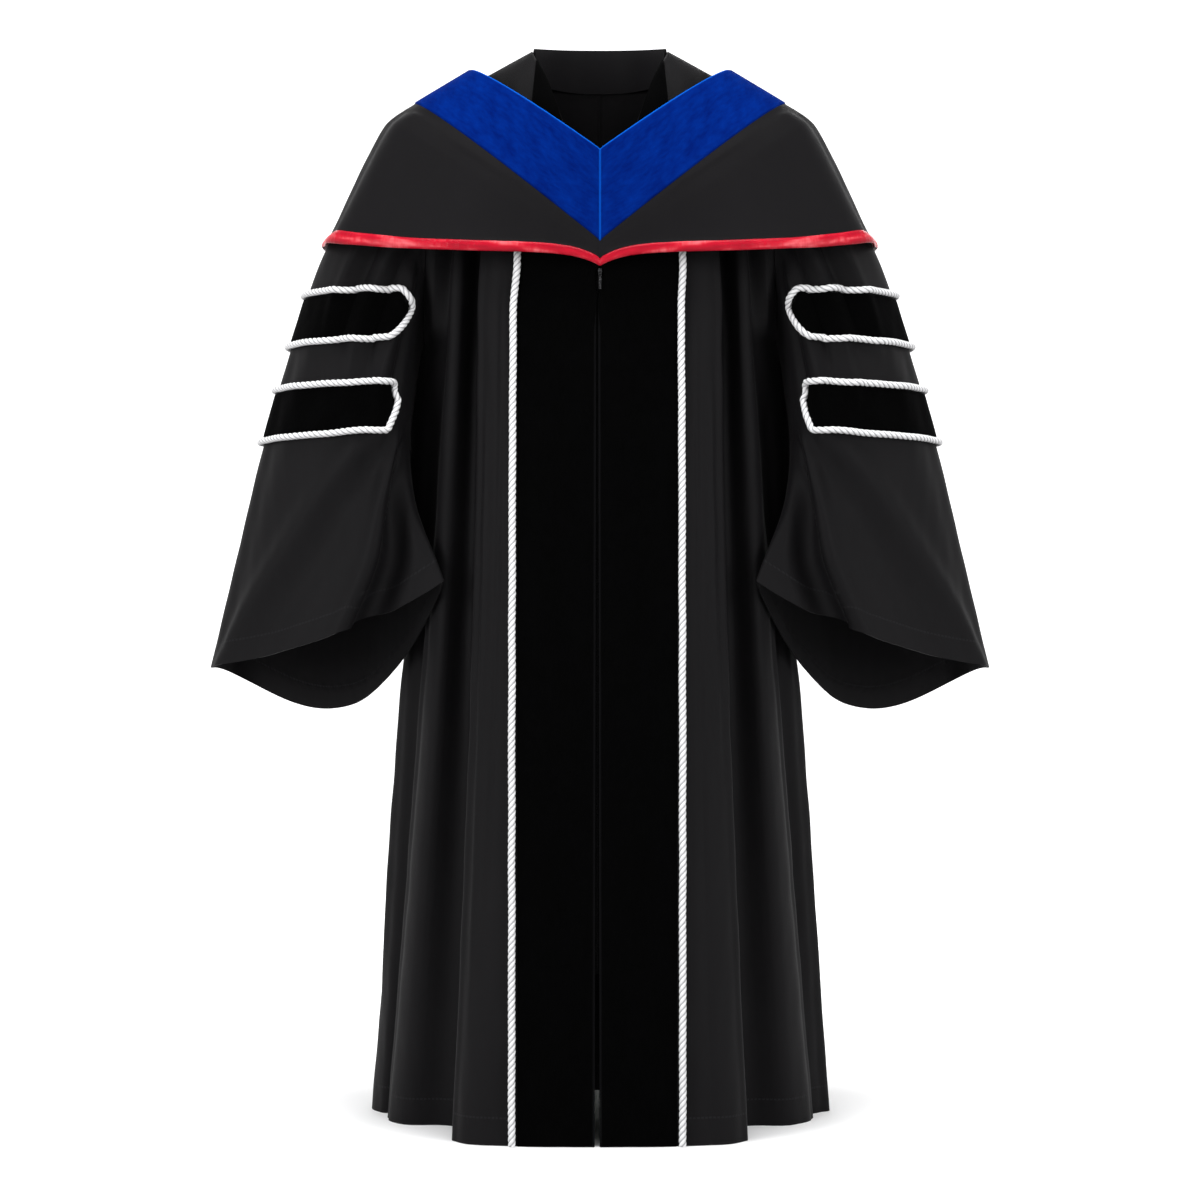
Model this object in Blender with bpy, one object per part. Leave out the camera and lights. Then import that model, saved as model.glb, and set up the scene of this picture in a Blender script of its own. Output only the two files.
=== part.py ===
"""Doctoral graduation gown with its hood, hollow and filled out as it is worn.

Metres, +Z up. The front faces -Y and the wearer's left is +X. The origin is the seat on the
wearer's shoulders, at the base of the neck. Every cloth piece is a thin closed wall. Each
garment area is one smooth surface, worked out from the tables below, and the pieces on an
area are made from the points of that surface, moved out.
"""
import math
from collections import namedtuple

import bpy
import numpy as np

# Heights and general sizes
CHEST_Z = -0.3575
HEM_Z = -1.363
CLOTH = 0.0020
VELVET = 0.0025
COLLAR = 0.0030
SATIN = 0.0030
SEAM_GAP = 0.0003
SEAM_LOOK = 0.25
SEAM_STEP = 1e-6

# Front opening
SWAY = -0.0035
LENS_TOP_Z = -0.268
LENS_END_Z = -0.312
LENS_SPREAD = 0.0036
TAPE_HALF = 0.0065
TAPE_GAP = 0.0016
TAPE_TOP = -0.94
TAPE_END = 0.79
SWAY_REACH = 0.060
TAPE = 0.0012

# Cords
FRONT_CORD_RADIUS = 0.0047
BAR_CORD_RADIUS = 0.0044
CORD_TOP_Z = -0.243
VELVET_LINE = 0.930
CORD_GAP = 0.0006
CORD_SIDES = 6

# Fold lines of one half of the gown, in plan, from the zip round the side to the centre back.
# Each line runs from the chest to the hem. Flare above 1 spreads it late, below 1 early, and
# the puff is how far it stands out sideways, and back, below the armpit.
Line = namedtuple("Line", "name chest_x chest_y hem_x hem_y flare puff columns")
BODY_LINES = (
    Line("front edge",      0.0013, -0.1570, 0.0030, -0.2090, 1.0, 0.0000, 3),
    Line("cord",            0.1045, -0.1500, 0.1045, -0.2040, 1.0, 0.0000, 2),
    Line("front corner",    0.1330, -0.1450, 0.1640, -0.1900, 1.6, 0.0000, 2),
    Line("front fold",      0.1485, -0.1300, 0.1795, -0.1640, 1.6, 0.0000, 3),
    Line("front valley",    0.1400, -0.1080, 0.1520, -0.1180, 1.2, 0.0000, 2),
    Line("side panel",      0.1560, -0.0980, 0.1850, -0.0830, 1.2, 0.0000, 3),
    Line("side fold",       0.1900, -0.1000, 0.2710, -0.0170, 1.2, 0.0020, 2),
    Line("side valley",     0.1930, -0.0740, 0.2660,  0.0160, 1.0, 0.0040, 3),
    Line("arm fold",        0.2160, -0.0480, 0.2880,  0.0400, 0.9, 0.0080, 4),
    Line("side seam",       0.2275,  0.0100, 0.3030,  0.0770, 1.2, 0.0165, 4),
    Line("back side fold",  0.2020,  0.0640, 0.2830,  0.1420, 1.0, 0.0100, 4),
    Line("back dip one",    0.1700,  0.0740, 0.2340,  0.1460, 1.0, 0.0000, 3),
    Line("back fold one",   0.1440,  0.0980, 0.2080,  0.1960, 1.1, 0.0000, 2),
    Line("back dip two",    0.1180,  0.0940, 0.1580,  0.1740, 1.1, 0.0000, 2),
    Line("back fold two",   0.0900,  0.1130, 0.1220,  0.2260, 1.2, 0.0000,3),
    Line("back dip three",  0.0580,  0.1070, 0.0740,  0.1960, 1.2, 0.0000,3),
    Line("back fold three", 0.0290,  0.1180, 0.0380,  0.2310, 1.2, 0.0000,3),
    Line("centre back",     0.0000,  0.1150, 0.0000,  0.2220, 1.0, 0.0000, 0),
)
LINE_AT = {line.name: number for number, line in enumerate(BODY_LINES)}
CORD_LINE = LINE_AT["cord"]
SIDE_LINE = LINE_AT["side seam"]
BACK_NECK = LINE_AT["back fold two"]
BACK_LINE = LINE_AT["centre back"]
PUFF_END = 0.40
PUFF_LEAN = 0.75
PUFF_BACK = 1.5

# Top edge of the gown: neck, shoulder seam and shoulder tip
EDGE_TOP_X = 0.0018
EDGE_TOP_Y = -0.1555
NECK_X = 0.0880
NECK_Z = 0.0224
NECK_ROUND = 0.75
BACK_NECK_Y = 0.0780
BACK_NECK_Z = -0.0200
SHOULDER_MID_X = 0.1440
SHOULDER_MID_Z = -0.0080
TIP_X = 0.2150
TIP_Z = -0.0355
ARMHOLE_GAP = 0.0005
ARMHOLE_REACH = 2.4
ARMHOLE_PULL = 1.6
TOP_LEVEL = 1.45
CHEST_RISE = 1.3
COLLAR_TOP_Z = 0.0365
COLLAR_TOP_Y = 0.0700
COLLAR_END = 0.004
COLLAR_LEAN = 0.995
COLLAR_START = 0.02

# Sleeve loops from the armhole to the cuff. The outer and inner points are the ends of each
# loop in the front view. Front and back are its depths, the drops are how far its front and
# back hang below the straight line between those ends, and the fold is the long diagonal one.
Loop = namedtuple("Loop", "outer_x outer_z inner_x inner_y inner_z front back"
                          " front_drop back_drop back_full fold_turn fold_depth gather")
SLEEVE_LOOPS = (
    Loop(0.2154, -0.0355, 0.2280,  0.010, -0.357, 0.086, 0.080, 0.000, 0.000, 1.00, 165, 0.000, 0.0000),
    Loop(0.2660, -0.0780, 0.2340, -0.015, -0.385, 0.093, 0.086, 0.000, 0.000, 1.00, 165, 0.000, 0.0020),
    Loop(0.3160, -0.1650, 0.2385, -0.040, -0.430, 0.099, 0.092, 0.000, 0.000, 1.00, 165, 0.000, 0.0040),
    Loop(0.3610, -0.2480, 0.2430, -0.054, -0.475, 0.104, 0.096, 0.000, 0.000, 1.00, 165, 0.000, 0.0040),
    Loop(0.4010, -0.3650, 0.2425, -0.064, -0.520, 0.108, 0.100, 0.002, 0.010, 0.90, 158, 0.004, 0.0030),
    Loop(0.4360, -0.4885, 0.2320, -0.082, -0.575, 0.112, 0.102, 0.006, 0.035, 0.70, 136, 0.014, 0.0015),
    Loop(0.4725, -0.6380, 0.2100, -0.106, -0.630, 0.114, 0.098, 0.012, 0.080, 0.60, 116, 0.024, 0.0000),
    Loop(0.5057, -0.7778, 0.1970, -0.120, -0.666, 0.110, 0.088, 0.018, 0.114, 0.50, 105, 0.028, 0.0000),
)
DROP_LEAN = 0.82
LOOP_ROUND = 0.80
SLEEVE_FOLD_REACH = 0.60
GATHER_TURNS = (48, 74, 100, 126)
GATHER_WIDTH = 9.0
SLEEVE_COLUMNS = 40
SLEEVE_ROWS = 12

# Sleeve bars: heights of the edges at the front point and at the outer side, and the columns
# of the sleeve, counted from its outer line, of the point and of the two corners.
Bar = namedtuple("Bar", "name top_in top_out low_in low_out point_z point_column top_column low_column")
SLEEVE_BARS = (
    Bar("upper", -0.2965, -0.2975, -0.3590, -0.3640, -0.3200, 13.4, 12, 12.6),
    Bar("lower", -0.4140, -0.4200, -0.4760, -0.4870, -0.4380, 15.4, 14, 14.3),
)
BAR_EDGE = 0.0050
BAR_TIP = 0.0010
BAR_GAP = 0.0010

# Hood rings from the neck to the hem. Bow above 1 keeps the front low before it climbs to the
# shoulder, the dip is the small point at centre front and back, roundness shapes the plan.
Ring = namedtuple("Ring", "side_x side_z front_y front_z back_y back_z bow dip roundness")
HOOD_RINGS = (
    Ring(0.1680, -0.0030, -0.1350, -0.1230, 0.1080, -0.0520, 1.0, 0.000, 2.0),
    Ring(0.2410, -0.0485, -0.1670, -0.2420, 0.1520, -0.1700, 1.0, 0.000, 2.3),
    Ring(0.2740, -0.0710, -0.1700, -0.2430, 0.1600, -0.1860, 1.2, 0.007, 2.5),
    Ring(0.3490, -0.2180, -0.1740, -0.2445, 0.1780, -0.2470, 3.0, 0.021, 2.8),
    Ring(0.3600, -0.2338, -0.1760, -0.2570, 0.1800, -0.2600, 3.0, 0.018, 2.8),
)
HOOD_ROWS = (0.0, 0.33, 0.67, 1.0, 1.4, 1.8, 2.2, 2.6, 3.0, 4.0)
VELVET_RING = 1
TRIM_RING = 3
DIP_REACH = 0.030
HOOD_SPREAD = (0.0, 0.5, 1.0, 2.0, 3.0, 4.0, 5.0, 6.0, 7.0, 8.0, 9.0)

# Zip slider and pull tab
SLIDER_Z = -0.2810
SLIDER_HALF = 0.0024
SLIDER_TALL = 0.0090
SLIDER_DEEP = 0.0080
PULL_Z = -0.2825
PULL_HALF = 0.0016
PULL_EYE_HALF = 0.0009
PULL_EYE_LOW = 0.0034
PULL_BAR = 0.0005
PULL_THICK = 0.0010
PULL_LONG = 0.0200
BRIDGE_HALF = 0.0005
BRIDGE_WINDOW = 0.0010
BRIDGE_WALL = 0.0008

# Colour, roughness and metallic value of each material
Finish = namedtuple("Finish", "colour roughness metallic")
FINISHES = {
    "gown_cloth": Finish((0.012, 0.012, 0.014), 0.75, 0.0),
    "black_velvet": Finish((0.004, 0.004, 0.005), 0.95, 0.0),
    "white_cord": Finish((0.78, 0.78, 0.80), 0.55, 0.0),
    "hood_cloth": Finish((0.014, 0.014, 0.016), 0.75, 0.0),
    "blue_velvet": Finish((0.005, 0.030, 0.280), 0.85, 0.0),
    "red_satin": Finish((0.700, 0.010, 0.025), 0.35, 0.0),
    "zip_tape": Finish((0.010, 0.010, 0.011), 0.80, 0.0),
    "zip_metal": Finish((0.060, 0.060, 0.065), 0.35, 1.0),
}


def smooth(amount):
    """Ease an amount from 0 to 1."""
    amount = np.clip(amount, 0.0, 1.0)
    return amount * amount * (3.0 - 2.0 * amount)


def mix(first, second, share):
    """Go from the first value to the second by a share."""
    return first + (second - first) * share


def unit(vectors):
    """Vectors of the same directions and of length one."""
    return vectors / np.maximum(np.linalg.norm(vectors, axis=-1, keepdims=True), 1e-12)


def curve_through(knots, points, places, steady=False):
    """Read a smooth curve through points at the given places between its knots.

    A steady curve never swings past the values on either side of it.
    """
    step = np.diff(knots)[:, None]
    chord = np.diff(points, axis=0) / step
    slope = np.empty_like(points)
    slope[1:-1] = (chord[:-1] * step[1:] + chord[1:] * step[:-1]) / (step[:-1] + step[1:])
    if steady:
        product = chord[:-1] * chord[1:]
        total = chord[:-1] + chord[1:]
        slope[1:-1] = np.where(product > 0.0, 2.0 * product / np.where(total == 0.0, 1.0, total), 0.0)
    slope[0] = chord[0]
    slope[-1] = chord[-1]
    span = np.clip(np.searchsorted(knots, places, side="right") - 1, 0, len(step) - 1)
    width = step[span]
    share = (places - knots[span])[:, None] / width
    rest = 1.0 - share
    return (points[span] * (1.0 + 2.0 * share) * rest ** 2
            + slope[span] * width * share * rest ** 2
            + points[span + 1] * (3.0 - 2.0 * share) * share ** 2
            - slope[span + 1] * width * share ** 2 * rest)


# Body of the gown
def plan_section(height, lines):
    """Plan points of the body at one height below the chest, at the given line numbers."""
    drop = max(0.0, (CHEST_Z - height) / (CHEST_Z - HEM_Z))
    keys = []
    for line in BODY_LINES:
        spread = drop ** line.flare
        out = line.puff * math.sin(math.pi * min(1.0, drop / PUFF_END) ** PUFF_LEAN)
        keys.append((mix(line.chest_x, line.hem_x, spread) + out,
                     mix(line.chest_y, line.hem_y, spread) + PUFF_BACK * out))
    keys = [(-keys[1][0], keys[1][1])] + keys + [(-keys[-2][0], keys[-2][1])]
    keys = np.array(keys)
    gaps = np.sqrt(np.linalg.norm(np.diff(keys, axis=0), axis=1))
    knots = np.concatenate(([0.0], np.cumsum(gaps)))
    places = np.interp(lines + 1.0, np.arange(len(knots)), knots)
    return curve_through(knots, keys, places)


def shoulder_height(x):
    """Height of the shoulder ridge, steeper by the neck than under the hood."""
    return np.interp(x, (NECK_X, SHOULDER_MID_X, TIP_X), (NECK_Z, SHOULDER_MID_Z, TIP_Z))


def back_neck(share):
    """Point of the back neckline, from the shoulder seam at 0 to the centre back at 1."""
    sine = math.sin(math.pi / 2.0 * share)
    across = math.copysign(abs(1.0 - share) ** NECK_ROUND, 1.0 - share)
    return NECK_X * across, BACK_NECK_Y * sine, mix(NECK_Z, BACK_NECK_Z, sine ** 1.5)


def top_edge(line):
    """End of one body line at the neck or the shoulder seam, and how upright it arrives there."""
    if line <= CORD_LINE:
        share = max(0.0, line)
        point = (mix(EDGE_TOP_X, NECK_X, line), mix(EDGE_TOP_Y, 0.0, share ** 1.8),
                 mix(LENS_TOP_Z, NECK_Z, share ** 0.67))
        return point, 1.0 - share
    if line >= BACK_NECK:
        share = (line - BACK_NECK) / (BACK_LINE - BACK_NECK)
        return back_neck(share), math.sin(math.pi / 2.0 * share)
    if line <= SIDE_LINE:
        share = (line - CORD_LINE) / (SIDE_LINE - CORD_LINE)
    else:
        share = (BACK_NECK - line) / (BACK_NECK - SIDE_LINE)
    x = mix(NECK_X, TIP_X, share)
    return (x, 0.0, shoulder_height(x)), 0.0


def upper_lines(lines):
    """Start, top, and the directions at both ends, of the body lines above the chest."""
    step = 0.02
    chest = plan_section(CHEST_Z, lines)
    slope = (chest - plan_section(CHEST_Z - step, lines)) / step
    tops = [top_edge(line) for line in lines]
    top = np.array([point for point, _ in tops])
    upright = np.array([amount for _, amount in tops])
    start = np.column_stack((chest, np.full(len(lines), CHEST_Z)))
    rise = top[:, 2] - CHEST_Z
    leave = np.column_stack((slope * rise[:, None] * 0.5, rise * CHEST_RISE))
    level = TOP_LEVEL * (top[:, 1] - start[:, 1])
    arrive = np.column_stack((np.zeros(len(lines)), level, upright * rise))
    return start, top, leave, arrive


def arc(start, top, leave, arrive, up):
    """Point of each upper body line, from the chest at 0 to its top at 1."""
    rest = 1.0 - up
    return (start * (1.0 + 2.0 * up) * rest ** 2 + leave * up * rest ** 2
            + top * (3.0 - 2.0 * up) * up ** 2 - arrive * up ** 2 * rest)


def armhole_edge(up, front):
    """Edge of the body at the armhole, as high as the upper body lines are at this place."""
    climb = up * up * (3.0 - 2.0 * up) + CHEST_RISE * up * (1.0 - up) ** 2
    turn = math.acos(min(1.0, max(-1.0, 2.0 * climb - 1.0)))
    turn = turn if front else 2.0 * math.pi - turn
    point = sleeve_surface(np.array([[0.0]]), np.array([[turn]]))[0, 0]
    return point - np.array((ARMHOLE_GAP, 0.0, ARMHOLE_GAP * (1.0 - up)))


def body_surface(places, lines):
    """Outer surface of one half of the gown's body.

    Place -1 is the top edge, 0 the chest and 1 the hem. Lines run as in the table. Above the
    chest each line climbs along one smooth arc that lies level as it meets the shoulder seam,
    and the lines by the side seam are drawn over to the edge of the armhole.
    """
    result = np.empty(places.shape + (3,))
    row_lines = lines[0]
    ends = upper_lines(row_lines)
    seam_ends = upper_lines(np.array([float(SIDE_LINE)]))
    near_seam = np.clip(1.0 - np.abs(row_lines - SIDE_LINE) / ARMHOLE_REACH, 0.0, 1.0)[:, None] ** ARMHOLE_PULL
    front = row_lines <= SIDE_LINE
    for row, place in enumerate(places[:, 0]):
        if place > 0.0:
            height = mix(CHEST_Z, HEM_Z, place)
            result[row, :, :2] = plan_section(height, row_lines)
            result[row, :, 2] = height
        else:
            seam = arc(*seam_ends, -place)[0]
            draw = np.where(front[:, None], armhole_edge(-place, True) - seam,
                            armhole_edge(-place, False) - seam)
            result[row] = arc(*ends, -place) + near_seam * draw
    return result


def hang(points, side, lines):
    """Mirror a half to its side, part the zip's top and let the front hang a little askew."""
    placed = points.copy()
    height = points[..., 2]
    front = np.clip(1.0 - (lines - CORD_LINE) / 2.0, 0.0, 1.0)
    near_edge = np.clip(1.0 - lines, 0.0, 1.0)
    spread = LENS_SPREAD * smooth((height - LENS_END_Z) / 0.024) * near_edge
    sway = SWAY * smooth((LENS_TOP_Z - height) / SWAY_REACH) * front
    placed[..., 0] = side * (points[..., 0] + spread) + sway
    return placed


# Sleeves
def sleeve_keys(places):
    """Values of the sleeve's loop table, read smoothly along the sleeve."""
    table = np.array(SLEEVE_LOOPS, dtype=float)
    knots = np.linspace(0.0, 1.0, len(table))
    return curve_through(knots, table, places)


def sleeve_surface(places, turns):
    """Outer surface of the left sleeve, by the place along it and the turn round it."""
    keys = sleeve_keys(places[:, 0])
    (outer_x, outer_z, inner_x, inner_y, inner_z, front, back, front_drop, back_drop, back_full,
     fold_turn, fold_depth, gather) = [keys[:, number][:, None] for number in range(keys.shape[1])]
    ahead = np.sin(turns)
    behind = ahead < 0.0
    outward = np.clip((1.0 + np.cos(turns)) / 2.0, 0.0, 1.0)
    outward = np.where(behind, outward ** back_full, outward)
    x = mix(inner_x, outer_x, outward)
    z = mix(inner_z, outer_z, outward)
    z = z - np.where(behind, back_drop, front_drop) * np.sin(math.pi * outward ** DROP_LEAN)
    line_y = inner_y * (1.0 - outward)
    middle_y = inner_y * 0.5
    depth = np.where(behind, back - middle_y, -front - middle_y)
    y = line_y + depth * np.abs(ahead) ** LOOP_ROUND
    fold_start = np.radians(fold_turn)
    past = np.clip((turns - fold_start) / (math.pi - fold_start), 0.0, 1.0)
    y = y + fold_depth * np.sin(math.pi * past ** SLEEVE_FOLD_REACH)
    degrees = np.degrees(turns)
    for turn in GATHER_TURNS:
        for centre in (turn, 360 - turn):
            crest = np.exp(-((degrees - centre) / GATHER_WIDTH) ** 2)
            y = y + gather * crest * np.where(behind, 1.0, -1.0)
    return np.stack((x, y, z), axis=-1)


# Hood
def hood_surface(places, turns):
    """Outer surface of the left half of the hood.

    Places count the rings from the neck. Turn 0 is the centre front, pi the centre back.
    """
    result = np.empty(places.shape + (3,))
    table = np.array(HOOD_RINGS, dtype=float)
    for row, place in enumerate(places[:, 0]):
        keys = curve_through(np.arange(len(table), dtype=float), table, np.array([place]), steady=True)[0]
        ring = Ring(*keys)
        sine = np.abs(np.sin(turns[row])) ** (2.0 / ring.roundness)
        cosine = np.abs(np.cos(turns[row])) ** (2.0 / ring.roundness)
        back = turns[row] > math.pi / 2.0
        x = ring.side_x * sine
        y = np.where(back, ring.back_y, ring.front_y) * cosine
        centre_z = np.where(back, ring.back_z, ring.front_z)
        z = mix(centre_z, ring.side_z, sine ** ring.bow) - ring.dip * np.exp(-x / DIP_REACH)
        result[row] = np.stack((x, y, z), axis=-1)
    return result


def hood_fall(place, turns):
    """Unit directions in which the hood's surface falls at one ring."""
    step = 1e-3
    places, turn_grid = grid(np.array([place - step, place + step]), turns)
    ends = hood_surface(places, turn_grid)
    return unit(ends[1] - ends[0])


# Walls, tubes and objects
def finish_of(name):
    """Make a material from its row in the finishes table."""
    finish = FINISHES[name]
    material = bpy.data.materials.new(name)
    material.use_nodes = True
    shader = material.node_tree.nodes["Principled BSDF"]
    shader.inputs["Base Color"].default_value = finish.colour + (1.0,)
    shader.inputs["Roughness"].default_value = finish.roughness
    shader.inputs["Metallic"].default_value = finish.metallic
    return material


def make_object(name, vertices, faces, material, smooth_angle=50.0):
    """Make one object from a closed mesh, with its faces turned outwards."""
    corners = np.asarray(vertices)
    volume = 0.0
    for face in faces:
        for second, third in zip(face[1:-1], face[2:]):
            volume += np.dot(corners[face[0]], np.cross(corners[second], corners[third]))
    if volume < 0.0:
        faces = [tuple(reversed(face)) for face in faces]
    mesh = bpy.data.meshes.new(name)
    mesh.from_pydata([tuple(corner) for corner in corners], [], faces)
    mesh.materials.append(material)
    mesh.shade_smooth()
    mesh.set_sharp_from_angle(angle=math.radians(smooth_angle))
    piece = bpy.data.objects.new(name, mesh)
    bpy.context.scene.collection.objects.link(piece)
    return piece


def grid_normals(points, middle, closed=False):
    """Unit normals at the points of a grid, from the cells round each, away from a middle point."""
    around = np.concatenate((points[:, -1:], points, points[:, :1]), axis=1) if closed else points
    cells = np.cross(around[1:, 1:] - around[:-1, :-1], around[1:, :-1] - around[:-1, 1:])
    cells = unit(cells)
    total = np.zeros_like(around)
    for rows in (slice(None, -1), slice(1, None)):
        for columns in (slice(None, -1), slice(1, None)):
            total[rows, columns] += cells
    normal = unit(total[:, 1:-1] if closed else total)
    return normal * np.sign((normal * (points - middle)).sum(axis=-1).mean())


def wall(name, outer, inner, material, closed=False):
    """A wall between two grids of points, closed round its columns where it is a tube.

    Both skins are cut into triangles along the same diagonals, so they stay parallel.
    """
    rows, columns = outer.shape[:2]
    count = rows * columns
    vertices = np.concatenate((outer.reshape(-1, 3), inner.reshape(-1, 3)))
    faces = []
    last = columns if closed else columns - 1
    for row in range(rows - 1):
        for column in range(last):
            after = (column + 1) % columns
            a = row * columns + column
            b = row * columns + after
            c = (row + 1) * columns + after
            d = (row + 1) * columns + column
            for corners in ((a, b, c), (a, c, d)):
                faces.append(corners)
                faces.append(tuple(count + corner for corner in reversed(corners)))
    for row in (0, rows - 1):
        for column in range(last):
            here = row * columns + column
            after = row * columns + (column + 1) % columns
            edge = (here, count + here, count + after, after)
            faces.append(edge if row == 0 else tuple(reversed(edge)))
    if not closed:
        for column in (0, columns - 1):
            for row in range(rows - 1):
                here = row * columns + column
                after = (row + 1) * columns + column
                edge = (here, after, count + after, count + here)
                faces.append(edge if column == 0 else tuple(reversed(edge)))
    return make_object(name, vertices, faces, material)


def tube(name, path, normals, radius, sides, material, closed=False):
    """A round cord along a path that lies on a surface, with flat ends unless it is a loop."""
    count = len(path)
    if closed:
        ahead = np.roll(path, -1, axis=0) - np.roll(path, 1, axis=0)
    else:
        ahead = np.gradient(path, axis=0)
    ahead = ahead / np.linalg.norm(ahead, axis=1, keepdims=True)
    beside = np.cross(ahead, normals)
    beside = beside / np.linalg.norm(beside, axis=1, keepdims=True)
    above = np.cross(beside, ahead)
    vertices = []
    for number in range(count):
        for side in range(sides):
            turn = 2.0 * math.pi * (side + 0.5) / sides
            vertices.append(path[number] + radius * (math.cos(turn) * beside[number]
                                                     + math.sin(turn) * above[number]))
    faces = []
    for number in range(count if closed else count - 1):
        following = (number + 1) % count
        for side in range(sides):
            after = (side + 1) % sides
            faces.append((number * sides + side, number * sides + after,
                          following * sides + after, following * sides + side))
    if not closed:
        faces.append(tuple(reversed(range(sides))))
        faces.append(tuple(range((count - 1) * sides, count * sides)))
    return make_object(name, vertices, faces, material, smooth_angle=70.0)


def plate(name, across, upward, cells, depths, place, material):
    """A flat plate made of the filled cells of a small grid, between two depths.

    Place turns a value across, a value upward and a depth into a point.
    """
    filled = set(cells)
    index = {}
    vertices = []
    faces = []

    def corner(column, row, layer):
        key = (column, row, layer)
        if key not in index:
            index[key] = len(vertices)
            vertices.append(place(across[column], upward[row], depths[layer]))
        return index[key]

    for column, row in cells:
        loop = ((column, row), (column + 1, row), (column + 1, row + 1), (column, row + 1))
        faces.append(tuple(corner(*spot, 1) for spot in loop))
        faces.append(tuple(corner(*spot, 0) for spot in reversed(loop)))
        neighbours = ((column, row - 1), (column + 1, row), (column, row + 1), (column - 1, row))
        for number, neighbour in enumerate(neighbours):
            if neighbour not in filled:
                start = loop[number]
                end = loop[(number + 1) % 4]
                faces.append((corner(*start, 0), corner(*end, 0), corner(*end, 1), corner(*start, 1)))
    return make_object(name, vertices, faces, material, smooth_angle=30.0)


def grid(rows, columns):
    """Two grids, of the row values and of the column values."""
    return np.meshgrid(rows, columns, indexing="ij")


def on_grid(points, row, column):
    """Point at a fractional row and column of a grid that is closed round its columns."""
    rows, columns = points.shape[:2]
    low_row = min(int(row), rows - 2)
    low_column = math.floor(column)
    share = row - low_row
    first = points[low_row:low_row + 2, low_column % columns]
    second = points[low_row:low_row + 2, (low_column + 1) % columns]
    pair = mix(first, second, column - low_column)
    return mix(pair[0], pair[1], share)


def row_at_height(points, column, height):
    """Fractional row where a column of a grid comes down to a height."""
    low = 0.0
    high = points.shape[0] - 1.0
    for _ in range(30):
        middle = (low + high) / 2.0
        if on_grid(points, middle, column)[2] > height:
            low = middle
        else:
            high = middle
    return (low + high) / 2.0


def side_name(side):
    """Name of the wearer's side."""
    return "left" if side > 0 else "right"


# Sub-parts
BODY_ROWS = np.array((-1.0, -0.92, -0.8, -0.62, -0.45, -0.3, -0.16, -0.05, 0.0, 0.1, 0.22, 0.4, 0.7, 1.0))
BODY_MIDDLE = np.array((0.0, 0.0, -0.6))


def column_lines(first, last):
    """Line numbers of the columns between two lines."""
    numbers = []
    for number in range(int(first), int(last)):
        count = BODY_LINES[number].columns
        numbers.extend(number + part / count for part in range(count))
        if number == 0:
            numbers.append(VELVET_LINE)
    numbers.append(float(last))
    return np.array(numbers)


def panel_points(first, last):
    """Points, normals and line numbers of a body panel, trimmed at its seams."""
    lines = column_lines(first, last)
    lines[0] += SEAM_STEP if first > 0.0 else 0.0
    beyond = np.concatenate(((first - SEAM_LOOK,), lines, (last + SEAM_LOOK,)))
    row_grid, line_grid = grid(BODY_ROWS, beyond)
    points = body_surface(row_grid, line_grid)
    above = BODY_ROWS <= 0.0
    if last == SIDE_LINE:
        points[above, -1] = 2.0 * points[above, -2] - points[above, -3]
    else:
        points[above, 0] = 2.0 * points[above, 1] - points[above, 2]
    normal = grid_normals(points, BODY_MIDDLE)[:, 1:-1]
    outer = points[:, 1:-1]
    half_gap = SEAM_GAP / 2.0
    on_shoulder = (lines >= CORD_LINE) & (lines <= BACK_NECK)
    outer[0, on_shoulder] += half_gap * unit(outer[1] - outer[0])[on_shoulder]
    if first > 0.0:
        outer[:, 0] += half_gap * unit(outer[:, 1] - outer[:, 0])
    outer[:, -1] += half_gap * unit(outer[:, -2] - outer[:, -1])
    return outer, normal, line_grid[:, 1:-1]


def make_body(side, materials):
    """Front and back panel of one side of the gown, and the trims on the front."""
    cloth = materials["gown_cloth"]
    for panel, first, last in (("gown_front", 0.0, SIDE_LINE), ("gown_back", SIDE_LINE, BACK_LINE)):
        outer, normal, lines = panel_points(first, last)
        inner = outer - CLOTH * normal
        on_shoulder = (lines[0] >= CORD_LINE) & (lines[0] <= BACK_NECK)
        inner[0, on_shoulder, 1] = outer[0, on_shoulder, 1]
        inner[0, :, 2] = np.minimum(inner[0, :, 2], outer[0, :, 2])
        by_armhole = (np.abs(lines - SIDE_LINE) <= SEAM_STEP) & (BODY_ROWS < 0.0)[:, None]
        inner[by_armhole, 0] = np.minimum(inner[by_armhole, 0], outer[by_armhole, 0])
        wall(f"{panel}_{side_name(side)}", hang(outer, side, lines), hang(inner, side, lines), cloth)
        if panel == "gown_front":
            make_front_velvet(outer, normal, lines, side, materials["black_velvet"])
            make_front_cord(outer, normal, lines, side, materials["white_cord"])


def make_front_velvet(outer, normal, lines, side, material):
    """Velvet facing from the zip to just inside the cord, on the points of the front."""
    count = BODY_LINES[0].columns + 1
    points = outer[:, :count]
    away = normal[:, :count]
    wall(f"front_velvet_{side_name(side)}",
         hang(points + (SEAM_GAP + VELVET) * away, side, lines[:, :count]),
         hang(points + SEAM_GAP * away, side, lines[:, :count]), material)


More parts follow.
